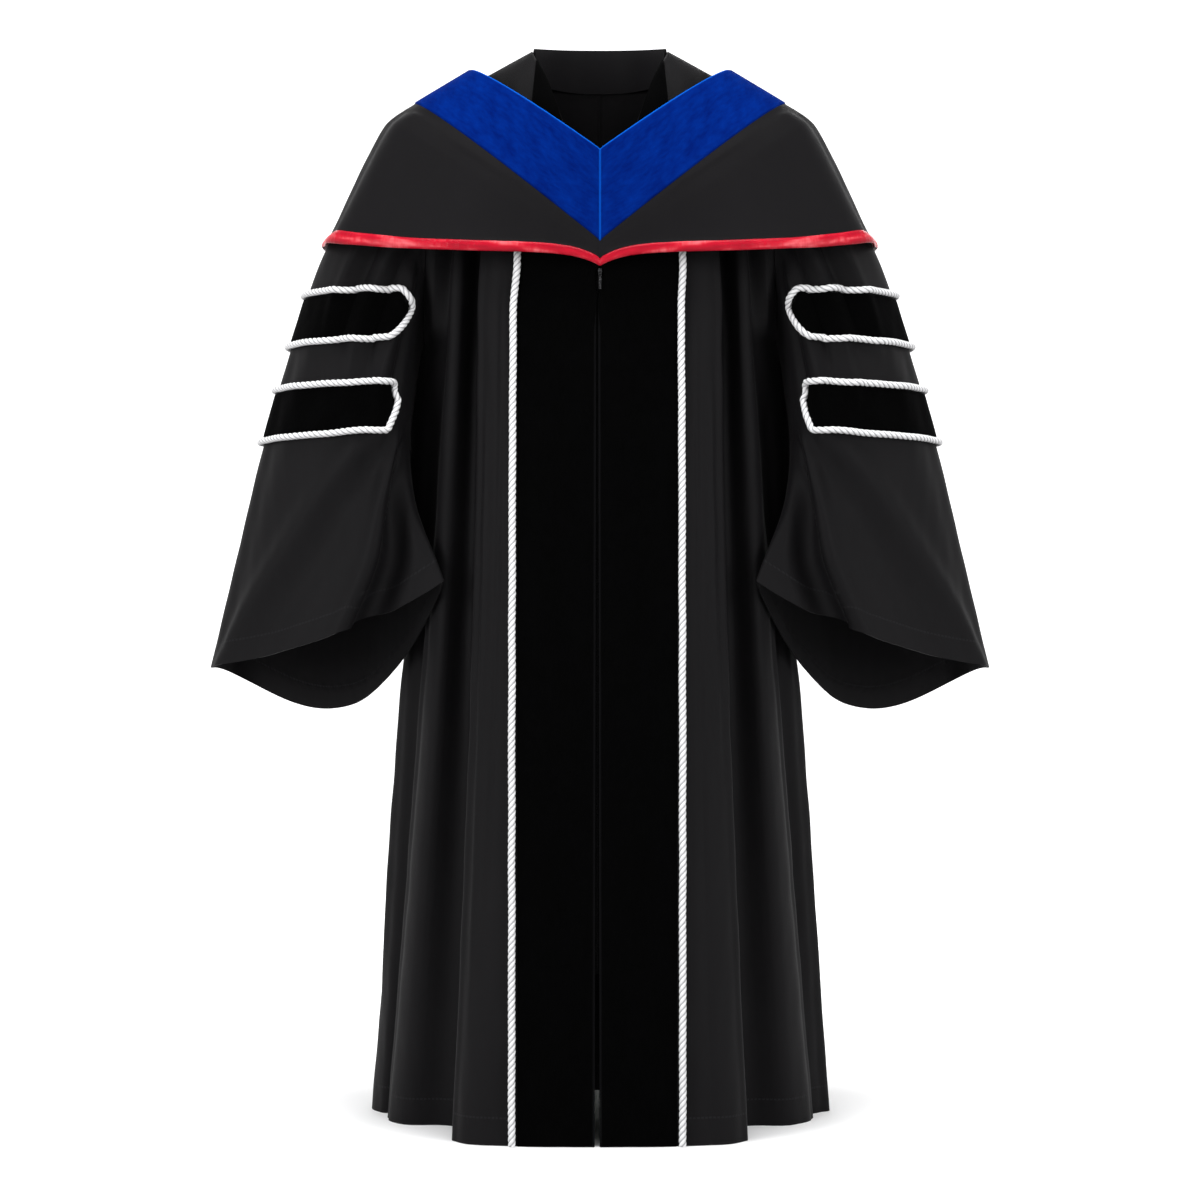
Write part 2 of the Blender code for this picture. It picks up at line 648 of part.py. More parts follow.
def make_front_cord(outer, normal, lines, side, material):
    """Cord down one front, from under the hood's hem to the gown's hem."""
    column = BODY_LINES[0].columns + 1
    foot = np.array((outer[:, column], normal[:, column]))
    top = np.nonzero(foot[0][:, 2] < CORD_TOP_Z)[0][0]
    above = mix(foot[:, top - 1], foot[:, top],
                (CORD_TOP_Z - foot[0][top - 1, 2]) / (foot[0][top, 2] - foot[0][top - 1, 2]))
    points = np.concatenate((above[:, None], foot[:, top:]), axis=1)
    points = np.array([finer(values) for values in points])
    line = np.full(len(points[0]), lines[0, column])
    path = points[0] + (CORD_GAP + FRONT_CORD_RADIUS) * points[1]
    tube(f"front_cord_{side_name(side)}", hang(path, side, line), points[1] * np.array((side, 1.0, 1.0)),
         FRONT_CORD_RADIUS, CORD_SIDES, material)


def finer(values):
    """Rows of values with one more half way between each two."""
    middles = (values[:-1] + values[1:]) / 2.0
    result = np.empty((len(values) * 2 - 1, values.shape[1]))
    result[0::2] = values
    result[1::2] = middles
    return result


def make_sleeve(side, materials):
    """One bell sleeve as an open tube, with its bars."""
    places = np.linspace(0.0, 1.0, SLEEVE_ROWS)
    turns = np.linspace(0.0, 2.0 * math.pi, SLEEVE_COLUMNS, endpoint=False)
    place_grid, turn_grid = grid(places, turns)
    outer = sleeve_surface(place_grid, turn_grid)
    middle = outer.mean(axis=1, keepdims=True)
    normal = grid_normals(outer, middle, closed=True)
    inner = outer - CLOTH * normal
    inner[0, :, 0] = outer[0, :, 0]
    mirror = np.array((side, 1.0, 1.0))
    wall(f"sleeve_{side_name(side)}", outer * mirror, inner * mirror, materials["gown_cloth"], closed=True)
    for bar in SLEEVE_BARS:
        make_bar(bar, outer, normal, side, materials)


def bar_heights(bar, column):
    """Top and low edge of a bar at one column of the sleeve, counted from its outer line."""
    reach = abs(column)
    heights = []
    for corner, inside, outside in ((bar.top_column, bar.top_in, bar.top_out),
                                    (bar.low_column, bar.low_in, bar.low_out)):
        if reach <= corner:
            heights.append(mix(outside, inside, reach / corner))
        else:
            heights.append(mix(inside, bar.point_z, (reach - corner) / (bar.point_column - corner)))
    return heights


def distance_to_loop(point, loop):
    """Shortest distance from a point to a closed line through points."""
    step = np.roll(loop, -1, axis=0) - loop
    share = ((point - loop) * step).sum(axis=1) / (step * step).sum(axis=1)
    nearest = loop + np.clip(share, 0.0, 1.0)[:, None] * step
    return np.linalg.norm(nearest - point, axis=1).min()


def bar_edge(sleeve, column, middle, edge, foot):
    """Height nearest the edge of a bar at which its velvet is just clear of the cord."""
    inside = middle
    outside = edge
    for _ in range(16):
        height = (inside + outside) / 2.0
        point = on_grid(sleeve, row_at_height(sleeve, column, height), column)
        if distance_to_loop(point, foot) > BAR_EDGE:
            inside = height
        else:
            outside = height
    return inside


def make_bar(bar, sleeve, sleeve_normal, side, materials):
    """One velvet bar round the outer side of a sleeve, and the cord round it."""
    mirror = np.array((side, 1.0, 1.0))
    name = f"{bar.name}_{side_name(side)}"
    reach = math.ceil(bar.point_column) - 1
    inside = list(range(-reach, reach + 1))
    slant = [number / 2.0 for number in range(2 * round(bar.top_column), 2 * reach + 1)]
    around = sorted(set(inside) | set(slant) | {-number for number in slant})
    outline = [(-bar.point_column, bar.point_z)]
    outline += [(column, bar_heights(bar, column)[0]) for column in around]
    outline += [(bar.point_column, bar.point_z)]
    outline += [(column, bar_heights(bar, column)[1]) for column in reversed(around)]
    spots = [(row_at_height(sleeve, column, height), column) for column, height in outline]
    foot = np.array([on_grid(sleeve, *spot) for spot in spots])
    away = np.array([on_grid(sleeve_normal, *spot) for spot in spots])
    away = away / np.linalg.norm(away, axis=1, keepdims=True)
    path = foot + (BAR_GAP + BAR_CORD_RADIUS) * away
    tube(f"bar_cord_{name}", path * mirror, away * mirror, BAR_CORD_RADIUS, 5,
         materials["white_cord"], closed=True)
    columns = []
    layers = []
    for column in inside:
        top, low = bar_heights(bar, column)
        middle = min(max(bar.point_z, low + 0.25 * (top - low)), top - 0.25 * (top - low))
        centre = on_grid(sleeve, row_at_height(sleeve, column, middle), column)
        if distance_to_loop(centre, foot) > BAR_EDGE + BAR_TIP:
            columns.append(column)
            layers.append((bar_edge(sleeve, column, middle, top, foot),
                           bar_edge(sleeve, column, middle, low, foot)))
    points = np.empty((3, len(columns), 3))
    normal = np.empty_like(points)
    for number, (column, (top, low)) in enumerate(zip(columns, layers)):
        for layer, height in enumerate((top, (top + low) / 2.0, low)):
            row = row_at_height(sleeve, column, height)
            points[layer, number] = on_grid(sleeve, row, column)
            normal[layer, number] = on_grid(sleeve_normal, row, column)
    wall(f"bar_{name}", (points + (BAR_GAP + VELVET) * normal) * mirror,
         (points + BAR_GAP * normal) * mirror, materials["black_velvet"])


def make_hood(side, materials):
    """Velvet band, cape and satin trim of one half of the hood."""
    mirror = np.array((side, 1.0, 1.0))
    quarter = math.pi / 2.0 * smooth(np.array(HOOD_SPREAD) / HOOD_SPREAD[-1])
    turns = np.concatenate((quarter, math.pi - quarter[-2::-1]))
    rows = np.array(HOOD_ROWS)
    row_grid, turn_grid = grid(rows, turns)
    hood = hood_surface(row_grid, turn_grid)
    normals = grid_normals(hood, BODY_MIDDLE)
    normals[:, (0, -1), 0] = 0.0
    normals = unit(normals)
    last_ring = len(HOOD_RINGS) - 1
    strips = (("hood_velvet", 0, VELVET_RING, VELVET, "blue_velvet"),
              ("hood_cape", VELVET_RING, TRIM_RING, CLOTH, "hood_cloth"),
              ("hood_trim", TRIM_RING, last_ring, SATIN, "red_satin"))
    for name, first, last, thickness, finish in strips:
        inside = (rows >= first) & (rows <= last)
        skin = hood[inside].copy()
        normal = normals[inside]
        if first > 0:
            skin[0] += SEAM_GAP * hood_fall(first, turns)
        if last < last_ring:
            skin[-1] -= SEAM_GAP * hood_fall(last, turns)
        outer = skin + (thickness - CLOTH) * normal
        inner = skin - CLOTH * normal
        for points in (outer, inner):
            points[:, (0, -1), 0] = SEAM_GAP / 2.0
        wall(f"{name}_{side_name(side)}", outer * mirror, inner * mirror, materials[finish])


def make_collar(materials):
    """Stand band round the back of the neck, tall at the back and low at its ends."""
    shares = (column_lines(BACK_NECK, BACK_LINE) - BACK_NECK) / (BACK_LINE - BACK_NECK)
    shares[0] += COLLAR_START
    half = np.array([back_neck(share) for share in shares])
    mirrored = half[-2::-1] * np.array((-1.0, 1.0, 1.0))
    base = np.concatenate((half, mirrored)) + np.array((0.0, 0.0, SEAM_GAP))
    lean = base[:, 1] / BACK_NECK_Y
    top = np.column_stack((COLLAR_LEAN * base[:, 0], COLLAR_TOP_Y * lean,
                           mix(NECK_Z + COLLAR_END, COLLAR_TOP_Z, lean)))
    outer = np.stack((base, (base + top) / 2.0, top))
    along = np.gradient(base, axis=0)
    outward = np.column_stack((along[:, 1], -along[:, 0], np.zeros(len(base))))
    outward = outward / np.linalg.norm(outward, axis=1, keepdims=True)
    wall("collar_band", outer, outer - COLLAR * outward, materials["gown_cloth"])


def make_zip_tape(materials):
    """Zip tape behind both front edges, at their depth, moved in."""
    between = BODY_ROWS[(BODY_ROWS > TAPE_TOP) & (BODY_ROWS < TAPE_END)]
    rows = np.concatenate(((TAPE_TOP,), between, (TAPE_END,)))
    row_grid, line_grid = grid(rows, np.zeros(1))
    edge = body_surface(row_grid, line_grid)[:, 0]
    edge[:, 1] += CLOTH + TAPE_GAP
    edge[:, 0] = SWAY * smooth((LENS_TOP_Z - edge[:, 2]) / SWAY_REACH)
    outer = np.stack([edge + np.array((across, 0.0, 0.0)) for across in (-TAPE_HALF, TAPE_HALF)], axis=1)
    wall("zip_tape", outer, outer + np.array((0.0, TAPE, 0.0)), materials["zip_tape"])
    return edge[0, 1]


def make_zip_slider(tape_y, materials):
    """Slider on the tape, with the small bridge that the pull tab hangs on."""
    metal = materials["zip_metal"]
    back = tape_y - SEAM_GAP
    face = back - SLIDER_DEEP
    tall = (SLIDER_Z - SLIDER_TALL / 2.0, SLIDER_Z + SLIDER_TALL / 2.0)
    slider = plate("zip_slider", (-SLIDER_HALF, SLIDER_HALF), tall, ((0, 0),), (back, face),
                   lambda across, up, depth: (across, depth, up), metal)
    reach = BRIDGE_WINDOW + BRIDGE_WALL
    deep = (face - BRIDGE_WINDOW * 2.0 - BRIDGE_WALL, face - BRIDGE_WINDOW * 2.0, face + BRIDGE_WALL)
    upward = (PULL_Z - reach, PULL_Z - BRIDGE_WINDOW, PULL_Z + BRIDGE_WINDOW, PULL_Z + reach)
    ring = ((0, 0), (1, 0), (0, 1), (0, 2), (1, 2))
    bridge = plate("zip_bridge", deep, upward, ring, (BRIDGE_HALF, -BRIDGE_HALF),
                   lambda across, up, depth: (depth, across, up), metal)
    bridge.hide_render = True
    bridge.display_type = "WIRE"
    join = slider.modifiers.new("bridge", "BOOLEAN")
    join.operation = "UNION"
    join.solver = "EXACT"
    join.object = bridge
    return face - BRIDGE_WINDOW


def make_zip_pull(pivot_y, materials):
    """Pull tab, hinged on the slider's bridge, with its origin on the hinge."""
    across = (-PULL_HALF, -PULL_EYE_HALF, PULL_EYE_HALF, PULL_HALF)
    upward = (-PULL_LONG, -PULL_EYE_LOW, -PULL_BAR, PULL_BAR)
    cells = tuple((column, row) for row in range(3) for column in range(3) if (column, row) != (1, 1))
    half = PULL_THICK / 2.0
    pull = plate("zip_pull", across, upward, cells, (half, -half),
                 lambda across, up, depth: (across, depth, up), materials["zip_metal"])
    pull.location = (0.0, pivot_y, PULL_Z)


def main():
    """Clear the scene and build the gown."""
    for existing in list(bpy.data.objects):
        bpy.data.objects.remove(existing, do_unlink=True)
    materials = {name: finish_of(name) for name in FINISHES}
    for side in (1, -1):
        make_body(side, materials)
        make_sleeve(side, materials)
        make_hood(side, materials)
    make_collar(materials)
    tape_y = make_zip_tape(materials)
    pivot_y = make_zip_slider(tape_y, materials)
    make_zip_pull(pivot_y, materials)


main()
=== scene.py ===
"""Doctoral graduation gown with its hood: cloth, velvet, satin, cords and zip on the frame.

Metres, +Z up. The front faces -Y and the wearer's left is +X. Each area of cloth is one smooth
surface with its creases, worked out from the tables below. What lies on an area is made from the
points of that area, moved out.
"""
import math
from collections import namedtuple

import bpy
import numpy as np
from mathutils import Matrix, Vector


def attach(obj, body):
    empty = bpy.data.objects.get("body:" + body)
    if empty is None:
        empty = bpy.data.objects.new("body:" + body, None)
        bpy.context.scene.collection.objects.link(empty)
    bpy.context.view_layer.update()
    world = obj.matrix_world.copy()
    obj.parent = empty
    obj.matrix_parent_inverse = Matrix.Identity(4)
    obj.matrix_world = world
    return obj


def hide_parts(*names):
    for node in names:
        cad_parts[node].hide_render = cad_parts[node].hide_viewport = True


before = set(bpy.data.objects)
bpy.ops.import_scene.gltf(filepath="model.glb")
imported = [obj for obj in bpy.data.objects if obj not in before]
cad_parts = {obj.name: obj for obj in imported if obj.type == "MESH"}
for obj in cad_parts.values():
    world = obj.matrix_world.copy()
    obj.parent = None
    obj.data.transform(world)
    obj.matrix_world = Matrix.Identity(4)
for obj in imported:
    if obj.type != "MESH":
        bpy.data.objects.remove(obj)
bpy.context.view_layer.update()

# Camera
CAMERA_PLACE = (0.0, -3.9, -0.69)
CAMERA_LENS = 90.0
CAMERA_SENSOR = 36.0

# Heights and general sizes
CHEST_Z = -0.3575
HEM_Z = -1.363
CLOTH = 0.0020
VELVET = 0.0025
COLLAR = 0.0030
SEAM_GAP = 0.0003
SHELL = 0.0009

# Front opening
SWAY = -0.0035
SWAY_REACH = 0.060
LENS_TOP_Z = -0.268
LENS_END_Z = -0.312
LENS_SPREAD = 0.0036
LENS_EASE = 0.024
TAPE_HALF = 0.0065
TAPE_GAP = 0.0016
TAPE_TOP = -0.94
TAPE_END = 0.79

# Cords
FRONT_CORD_RADIUS = 0.0047
BAR_CORD_RADIUS = 0.0044
CORD_TOP_Z = -0.243
VELVET_LINE = 0.930
CORD_GAP = 0.0006
CORD_PITCH = 0.0240

# Fold lines of one half of the gown, in plan, from the zip round the side to the centre back
Line = namedtuple("Line", "name chest_x chest_y hem_x hem_y flare puff")
BODY_LINES = (
    Line("front edge",      0.0013, -0.1570, 0.0030, -0.2090, 1.0, 0.0000),
    Line("cord",            0.1045, -0.1500, 0.1045, -0.2040, 1.0, 0.0000),
    Line("front corner",    0.1330, -0.1450, 0.1640, -0.1900, 1.6, 0.0000),
    Line("front fold",      0.1485, -0.1300, 0.1795, -0.1640, 1.6, 0.0000),
    Line("front valley",    0.1400, -0.1080, 0.1520, -0.1180, 1.2, 0.0000),
    Line("side panel",      0.1560, -0.0980, 0.1850, -0.0830, 1.2, 0.0000),
    Line("side fold",       0.1900, -0.1000, 0.2710, -0.0170, 1.2, 0.0020),
    Line("side valley",     0.1930, -0.0740, 0.2660,  0.0160, 1.0, 0.0040),
    Line("arm fold",        0.2160, -0.0480, 0.2880,  0.0400, 0.9, 0.0080),
    Line("side seam",       0.2275,  0.0100, 0.3030,  0.0770, 1.2, 0.0165),
    Line("back side fold",  0.2020,  0.0640, 0.2830,  0.1420, 1.0, 0.0100),
    Line("back dip one",    0.1700,  0.0740, 0.2340,  0.1460, 1.0, 0.0000),
    Line("back fold one",   0.1440,  0.0980, 0.2080,  0.1960, 1.1, 0.0000),
    Line("back dip two",    0.1180,  0.0940, 0.1580,  0.1740, 1.1, 0.0000),
    Line("back fold two",   0.0900,  0.1130, 0.1220,  0.2260, 1.2, 0.0000),
    Line("back dip three",  0.0580,  0.1070, 0.0740,  0.1960, 1.2, 0.0000),
    Line("back fold three", 0.0290,  0.1180, 0.0380,  0.2310, 1.2, 0.0000),
    Line("centre back",     0.0000,  0.1150, 0.0000,  0.2220, 1.0, 0.0000),
)
CORD_LINE = 1
SIDE_LINE = 9
BACK_NECK = 14
BACK_LINE = 17
PUFF_END = 0.40
PUFF_LEAN = 0.75
PUFF_BACK = 1.5

# Top edge of the gown: neck, shoulder seam and shoulder tip
EDGE_TOP_X = 0.0018
EDGE_TOP_Y = -0.1555
NECK_X = 0.0880
NECK_Z = 0.0224
NECK_ROUND = 0.75
BACK_NECK_Y = 0.0780
BACK_NECK_Z = -0.0200
SHOULDER_MID_X = 0.1440
SHOULDER_MID_Z = -0.0080
TIP_X = 0.2150
TIP_Z = -0.0355
ARMHOLE_GAP = 0.0005
ARMHOLE_REACH = 2.4
ARMHOLE_PULL = 1.6
TOP_LEVEL = 1.45
CHEST_RISE = 1.3
COLLAR_TOP_Z = 0.0365
COLLAR_TOP_Y = 0.0700
COLLAR_END = 0.004
COLLAR_LEAN = 0.995
COLLAR_START = 0.02
COLLAR_STATIONS = 46

# The collar's section: how far up it, and how far out in thicknesses of its cloth
COLLAR_PROFILE = (
    (0.0, 0.25), (0.25, 0.12), (0.5, 0.06), (0.75, 0.03), (0.95, 0.0), (1.0, -0.22),
    (1.0, -0.78), (0.95, -1.0), (0.75, -1.0), (0.5, -1.0), (0.25, -1.0), (0.0, -1.0),
)
COLLAR_MAP_TALL = 0.05
COLLAR_MAP_START = 0.2

# Sleeve loops from the armhole to the cuff
Loop = namedtuple("Loop", "outer_x outer_z inner_x inner_y inner_z front back"
                          " front_drop back_drop back_full fold_turn fold_depth gather")
SLEEVE_LOOPS = (
    Loop(0.2154, -0.0355, 0.2280,  0.010, -0.357, 0.086, 0.080, 0.000, 0.000, 1.00, 165, 0.000, 0.0000),
    Loop(0.2660, -0.0780, 0.2340, -0.015, -0.385, 0.093, 0.086, 0.000, 0.000, 1.00, 165, 0.000, 0.0020),
    Loop(0.3160, -0.1650, 0.2385, -0.040, -0.430, 0.099, 0.092, 0.000, 0.000, 1.00, 165, 0.000, 0.0040),
    Loop(0.3610, -0.2480, 0.2430, -0.054, -0.475, 0.104, 0.096, 0.000, 0.000, 1.00, 165, 0.000, 0.0040),
    Loop(0.4010, -0.3650, 0.2425, -0.064, -0.520, 0.108, 0.100, 0.002, 0.010, 0.90, 158, 0.004, 0.0030),
    Loop(0.4360, -0.4885, 0.2320, -0.082, -0.575, 0.112, 0.102, 0.006, 0.035, 0.70, 136, 0.014, 0.0015),
    Loop(0.4725, -0.6380, 0.2100, -0.106, -0.630, 0.114, 0.098, 0.012, 0.080, 0.60, 116, 0.024, 0.0000),
    Loop(0.5057, -0.7778, 0.1970, -0.120, -0.666, 0.110, 0.088, 0.018, 0.114, 0.50, 105, 0.028, 0.0000),
)
DROP_LEAN = 0.82
LOOP_ROUND = 0.80
SLEEVE_FOLD_REACH = 0.60
GATHER_TURNS = (48, 74, 100, 126)
GATHER_WIDTH = 9.0
SLEEVE_STEPS = 40

# Sleeve bars, with their columns counted from the sleeve's outer line
Bar = namedtuple("Bar", "name top_in top_out low_in low_out point_z point_column top_column low_column")
SLEEVE_BARS = (
    Bar("upper", -0.2965, -0.2975, -0.3590, -0.3640, -0.3200, 13.4, 12, 12.6),
    Bar("lower", -0.4140, -0.4200, -0.4760, -0.4870, -0.4380, 15.4, 14, 14.3),
)
BAR_GAP = 0.0010

# Hood rings from the neck to the hem
Ring = namedtuple("Ring", "side_x side_z front_y front_z back_y back_z bow dip roundness")
HOOD_RINGS = (
    Ring(0.1680, -0.0030, -0.1350, -0.1230, 0.1080, -0.0520, 1.0, 0.000, 2.0),
    Ring(0.2410, -0.0485, -0.1670, -0.2420, 0.1520, -0.1700, 1.0, 0.000, 2.3),
    Ring(0.2740, -0.0710, -0.1700, -0.2430, 0.1600, -0.1860, 1.2, 0.007, 2.5),
    Ring(0.3490, -0.2180, -0.1740, -0.2445, 0.1780, -0.2470, 3.0, 0.021, 2.8),
    Ring(0.3600, -0.2338, -0.1760, -0.2570, 0.1800, -0.2600, 3.0, 0.018, 2.8),
)
VELVET_RING = 1
TRIM_RING = 3
HEM_RING = 4
DIP_REACH = 0.030

# Creases of the body, first the left one and then its fellow on the right: the line that each follows
# at its top and low end, the places of those ends, its height out of the cloth or depth into it, and
# its half width in lines
Crease = namedtuple("Crease", "side line_top line_low top low height width")
CREASE_VALUES = 6


def paired(*rows):
    """Creases of both sides, from rows with the values of a left one and of a right one."""
    return tuple(Crease(side, *values) for row in rows
                 for side, values in ((1, row[:CREASE_VALUES]), (-1, row[CREASE_VALUES:])))


BODY_CREASES = paired(
    (1.62, 1.55, -0.10, 1.05, -0.0015, 0.10,  1.50, 1.66, -0.20, 0.80, -0.0018, 0.12),
    (2.35, 2.30, 0.02, 0.60, 0.0020, 0.16,  2.45, 2.20, 0.05, 0.90, 0.0018, 0.15),
    (3.02, 3.00, -0.60, 1.05, 0.0051, 0.22,  3.00, 3.02, -0.60, 1.05, 0.0055, 0.22),
    (5.00, 5.02, -0.60, 1.05, -0.0109, 0.30,  4.98, 5.00, -0.60, 1.05, -0.0116, 0.30),
    (5.70, 5.64, -0.60, 1.05, 0.0080, 0.32,  5.66, 5.70, -0.60, 1.05, 0.0072, 0.32),
    (4.00, 4.05, -0.60, 1.05, -0.0145, 0.45,  4.02, 4.00, -0.60, 1.05, -0.0145, 0.45),
    (4.75, 4.55, -0.10, 0.55, 0.0099, 0.30,  4.80, 4.60, -0.05, 0.62, 0.0109, 0.30),
    (5.25, 5.20, -0.20, 1.05, -0.0074, 0.22,  5.20, 5.30, -0.15, 1.05, -0.0084, 0.23),
    (5.62, 5.48, 0.20, 1.05, 0.0064, 0.16,  5.58, 5.55, 0.22, 1.05, 0.0070, 0.18),
    (6.45, 6.35, 0.20, 1.05, 0.0059, 0.16,  6.40, 6.45, 0.25, 1.05, 0.0064, 0.16),
    (7.40, 7.55, 0.00, 0.95, -0.0064, 0.27,  7.50, 7.45, 0.05, 1.05, -0.0064, 0.27),
    (8.45, 8.40, 0.05, 1.05, 0.0064, 0.24,  8.35, 8.55, 0.02, 0.90, 0.0055, 0.27),
    (9.55, 9.60, 0.00, 1.05, -0.0064, 0.24,  9.50, 9.45, 0.10, 1.05, -0.0060, 0.24),
    (10.50, 10.40, -0.05, 0.95, 0.0055, 0.24,  10.40, 10.60, 0.00, 1.05, 0.0051, 0.27),
    (11.50, 11.60, -0.30, 0.80, -0.0050, 0.22,  11.60, 11.40, -0.25, 1.05, -0.0055, 0.22),
    (13.40, 13.60, -0.35, 0.70, 0.0055, 0.24,  13.50, 13.50, -0.35, 1.05, 0.0050, 0.24),
    (15.50, 15.30, -0.35, 0.90, -0.0050, 0.24,  15.40, 15.60, -0.35, 0.60, -0.0055, 0.24),
    (16.50, 16.60, -0.30, 0.75, 0.0044, 0.22,  16.50, 16.40, -0.35, 0.90, 0.0044, 0.22),
)

# Creases of the sleeves, by the turn in degrees at both ends, the places and the half width
SLEEVE_CREASES = paired(
    (52, 60, 0.02, 0.60, 0.0090, 7.0,  50, 62, 0.02, 0.56, 0.0087, 7.0),
    (66, 74, 0.02, 0.52, -0.0090, 6.0,  66, 74, 0.02, 0.56, -0.0084, 6.5),
    (80, 90, 0.02, 0.66, 0.0078, 6.0,  82, 88, 0.02, 0.60, 0.0075, 6.5),
    (94, 104, 0.02, 0.52, -0.0090, 6.0,  96, 100, 0.02, 0.54, -0.0093, 6.5),
    (110, 120, 0.04, 0.62, 0.0090, 7.0,  112, 118, 0.04, 0.60, 0.0093, 7.0),
    (126, 134, 0.04, 0.50, -0.0075, 6.0,  128, 132, 0.04, 0.48, -0.0075, 6.0),
    (154, 98, 0.44, 1.00, 0.0116, 7.0,  154, 99, 0.44, 1.00, 0.0116, 7.0),
    (168, 114, 0.42, 1.00, -0.0217, 10.0,  168, 115, 0.42, 1.00, -0.0217, 10.0),
    (136, 24, 0.50, 1.00, 0.0084, 10.0,  134, 26, 0.50, 1.00, 0.0084, 10.0),
    (142, 58, 0.50, 1.00, -0.0072, 12.0,  144, 56, 0.50, 1.00, -0.0072, 12.0),
    (30, 22, 0.45, 1.04, -0.0024, 10.0,  28, 26, 0.50, 1.04, -0.0029, 10.0),
    (236, 226, 0.40, 1.04, 0.0036, 10.0,  232, 228, 0.40, 1.04, 0.0034, 10.0),
    (262, 268, 0.02, 0.95, -0.0030, 9.0,  264, 262, 0.02, 0.98, -0.0030, 9.0),
    (296, 300, 0.05, 1.04, 0.0030, 9.0,  298, 296, 0.05, 1.04, 0.0028, 9.0),
    (330, 336, 0.20, 1.04, -0.0022, 9.0,  332, 332, 0.25, 1.04, -0.0022, 9.0),
)

# Creases of the hood's cape, by the turn in degrees and the rings
HOOD_CREASES = paired(
    (62, 66, 1.10, 3.05, 0.0036, 7.0,  60, 68, 1.10, 3.05, 0.0031, 7.0),
    (76, 79, 1.30, 3.05, -0.0034, 5.0,  77, 78, 1.30, 3.05, -0.0036, 5.0),
    (30, 38, 1.30, 3.05, -0.0019, 8.0,  32, 36, 1.40, 3.05, -0.0017, 8.0),
    (112, 106, 1.20, 3.05, 0.0026, 8.0,  114, 108, 1.20, 3.05, 0.0029, 8.0),
    (140, 134, 1.20, 3.05, -0.0024, 9.0,  142, 136, 1.20, 3.05, -0.0022, 9.0),
)
RIPPLE = 0.0005
HOOD_RIPPLE = 0.7 * RIPPLE
CREASE_RISE = 5.0
CREASE_FALL = 4.0

# Where creases stay away: under the hood, by the arm, and on the outer and inner side of a sleeve
COVERED_PLACE = -0.60
COVERED_REACH = 0.25
BY_ARM_LINES = 1.4
BY_ARM_END = 0.30
BY_ARM_REACH = 0.2
EDGE_LINES = 0.125
OUTER_SIDE = 38.0
OUTER_END = 0.4
OUTER_REACH = 0.1
INNER_SIDE = 34.0
INNER_END = 0.55
INNER_REACH = 0.3

# Fineness of the meshes
SEAM_STEP = 1e-6
SEAM_STEPS = (0.012, 0.030, 0.060, 0.110)
COLUMNS_A_LINE = 13
LOOK = 0.01
SLEEVE_AROUND = 200
SLEEVE_ALONG = 130
HOOD_QUARTER = 52
BAR_STATIONS = 240
BAR_LAYERS = 11
CORNER_SOFTENING = 2
CORD_SPACING = 0.0016
CORD_SIDES = 18
FRONT_CORD_SPOTS = 260
STRAND_ROUND = 0.55
STRANDS = 3
STRAND_DEPTH = 0.34

# Sewing
GOWN_HEM = 0.034
CUFF_HEM = 0.030
SEAM_DENT = 0.0013
SEAM_REACH = 0.0022
SLEEVE_TUCK = 0.0012
EDGE_ROLL = 0.0009
ROLL_PLACE = 0.0022
ROLL_REACH = 0.0014
HOOD_VELVET_ROUND = 0.003
PUCKER = 0.28
TRIM_LIFT = 0.0002
BAR_INSET = 0.0042
BAR_THIN = 0.0015
VELVET_PROUD = 0.0016
TRIM_PROUD = 0.0022
COLLAR_LAP = 0.0012

# Zip
TAPE = 0.0012
SLIDER_Z = -0.2810
SLIDER_HALF = 0.0024
SLIDER_TALL = 0.0090
SLIDER_DEEP = 0.0080
BRIDGE_WINDOW = 0.0010
PULL_Z = -0.2825
PULL_HALF = 0.0016
PULL_THICK = 0.0010
PULL_LONG = 0.0200
PULL_TOP = 0.0005
PULL_EYE = 0.0009
PULL_EYE_TALL = 0.00145
PULL_EYE_DOWN = 0.00195
BRIDGE_RADIUS = 0.0014
BRIDGE_WIRE = 0.0004
GRIP_Z = -0.005
GRIP_START_Z = -0.006
INSET = 0.0006
SLIDER_WAIST = 0.72
SLIDER_WAIST_DOWN = 0.28
SMOOTH_ANGLE = math.radians(40.0)
TOOTH_PITCH = 0.0020
TOOTH = (0.0030, 0.0014, 0.62 * TOOTH_PITCH)
TOOTH_OUT = 0.0007
TOOTH_ASIDE = 0.0005
TEETH_END = 0.004

# Stage and lights: name, place, aim, size and power
SWEEP_REACH = 6.5
SWEEP_BEND = 2.0
SWEEP_TALL = 5.0
SWEEP_GLOW = 0.95
FLOOR_GLOW = 0.50
UNLIT_REACH = 0.20
LIT_REACH = 0.45
FLOOR_REACH = 1.9
WORLD_LIGHT = 0.38
STUDIO_LIGHTS = (
    ("left softbox", (-2.6, -2.4, 0.3), (0.0, 0.0, -0.7), (1.0, 2.4), 75.0),
    ("right softbox", (2.6, -2.4, 0.3), (0.0, 0.0, -0.7), (1.0, 2.4), 57.0),
    ("top softbox", (0.0, -0.8, 2.2), (0.0, 0.0, -0.6), (2.0, 1.2), 70.0),
    ("back softbox", (0.0, 2.6, 0.8), (0.0, 0.0, -0.6), (2.4, 1.6), 30.0),
)

BODY_MIDDLE = np.array((0.0, 0.0, -0.6))


def smooth(amount):
    """Ease an amount from 0 to 1."""
    amount = np.clip(amount, 0.0, 1.0)
    return amount * amount * (3.0 - 2.0 * amount)


def mix(first, second, share):
    """Go from the first value to the second by a share."""
    return first + (second - first) * share


def unit(vectors):
    """Vectors of the same directions and of length one."""
    return vectors / np.maximum(np.linalg.norm(vectors, axis=-1, keepdims=True), 1e-12)


def hump(distance, reach):
    """A soft rise that is one at no distance and gone at about twice its reach."""
    return np.exp(-(distance / reach) ** 2)


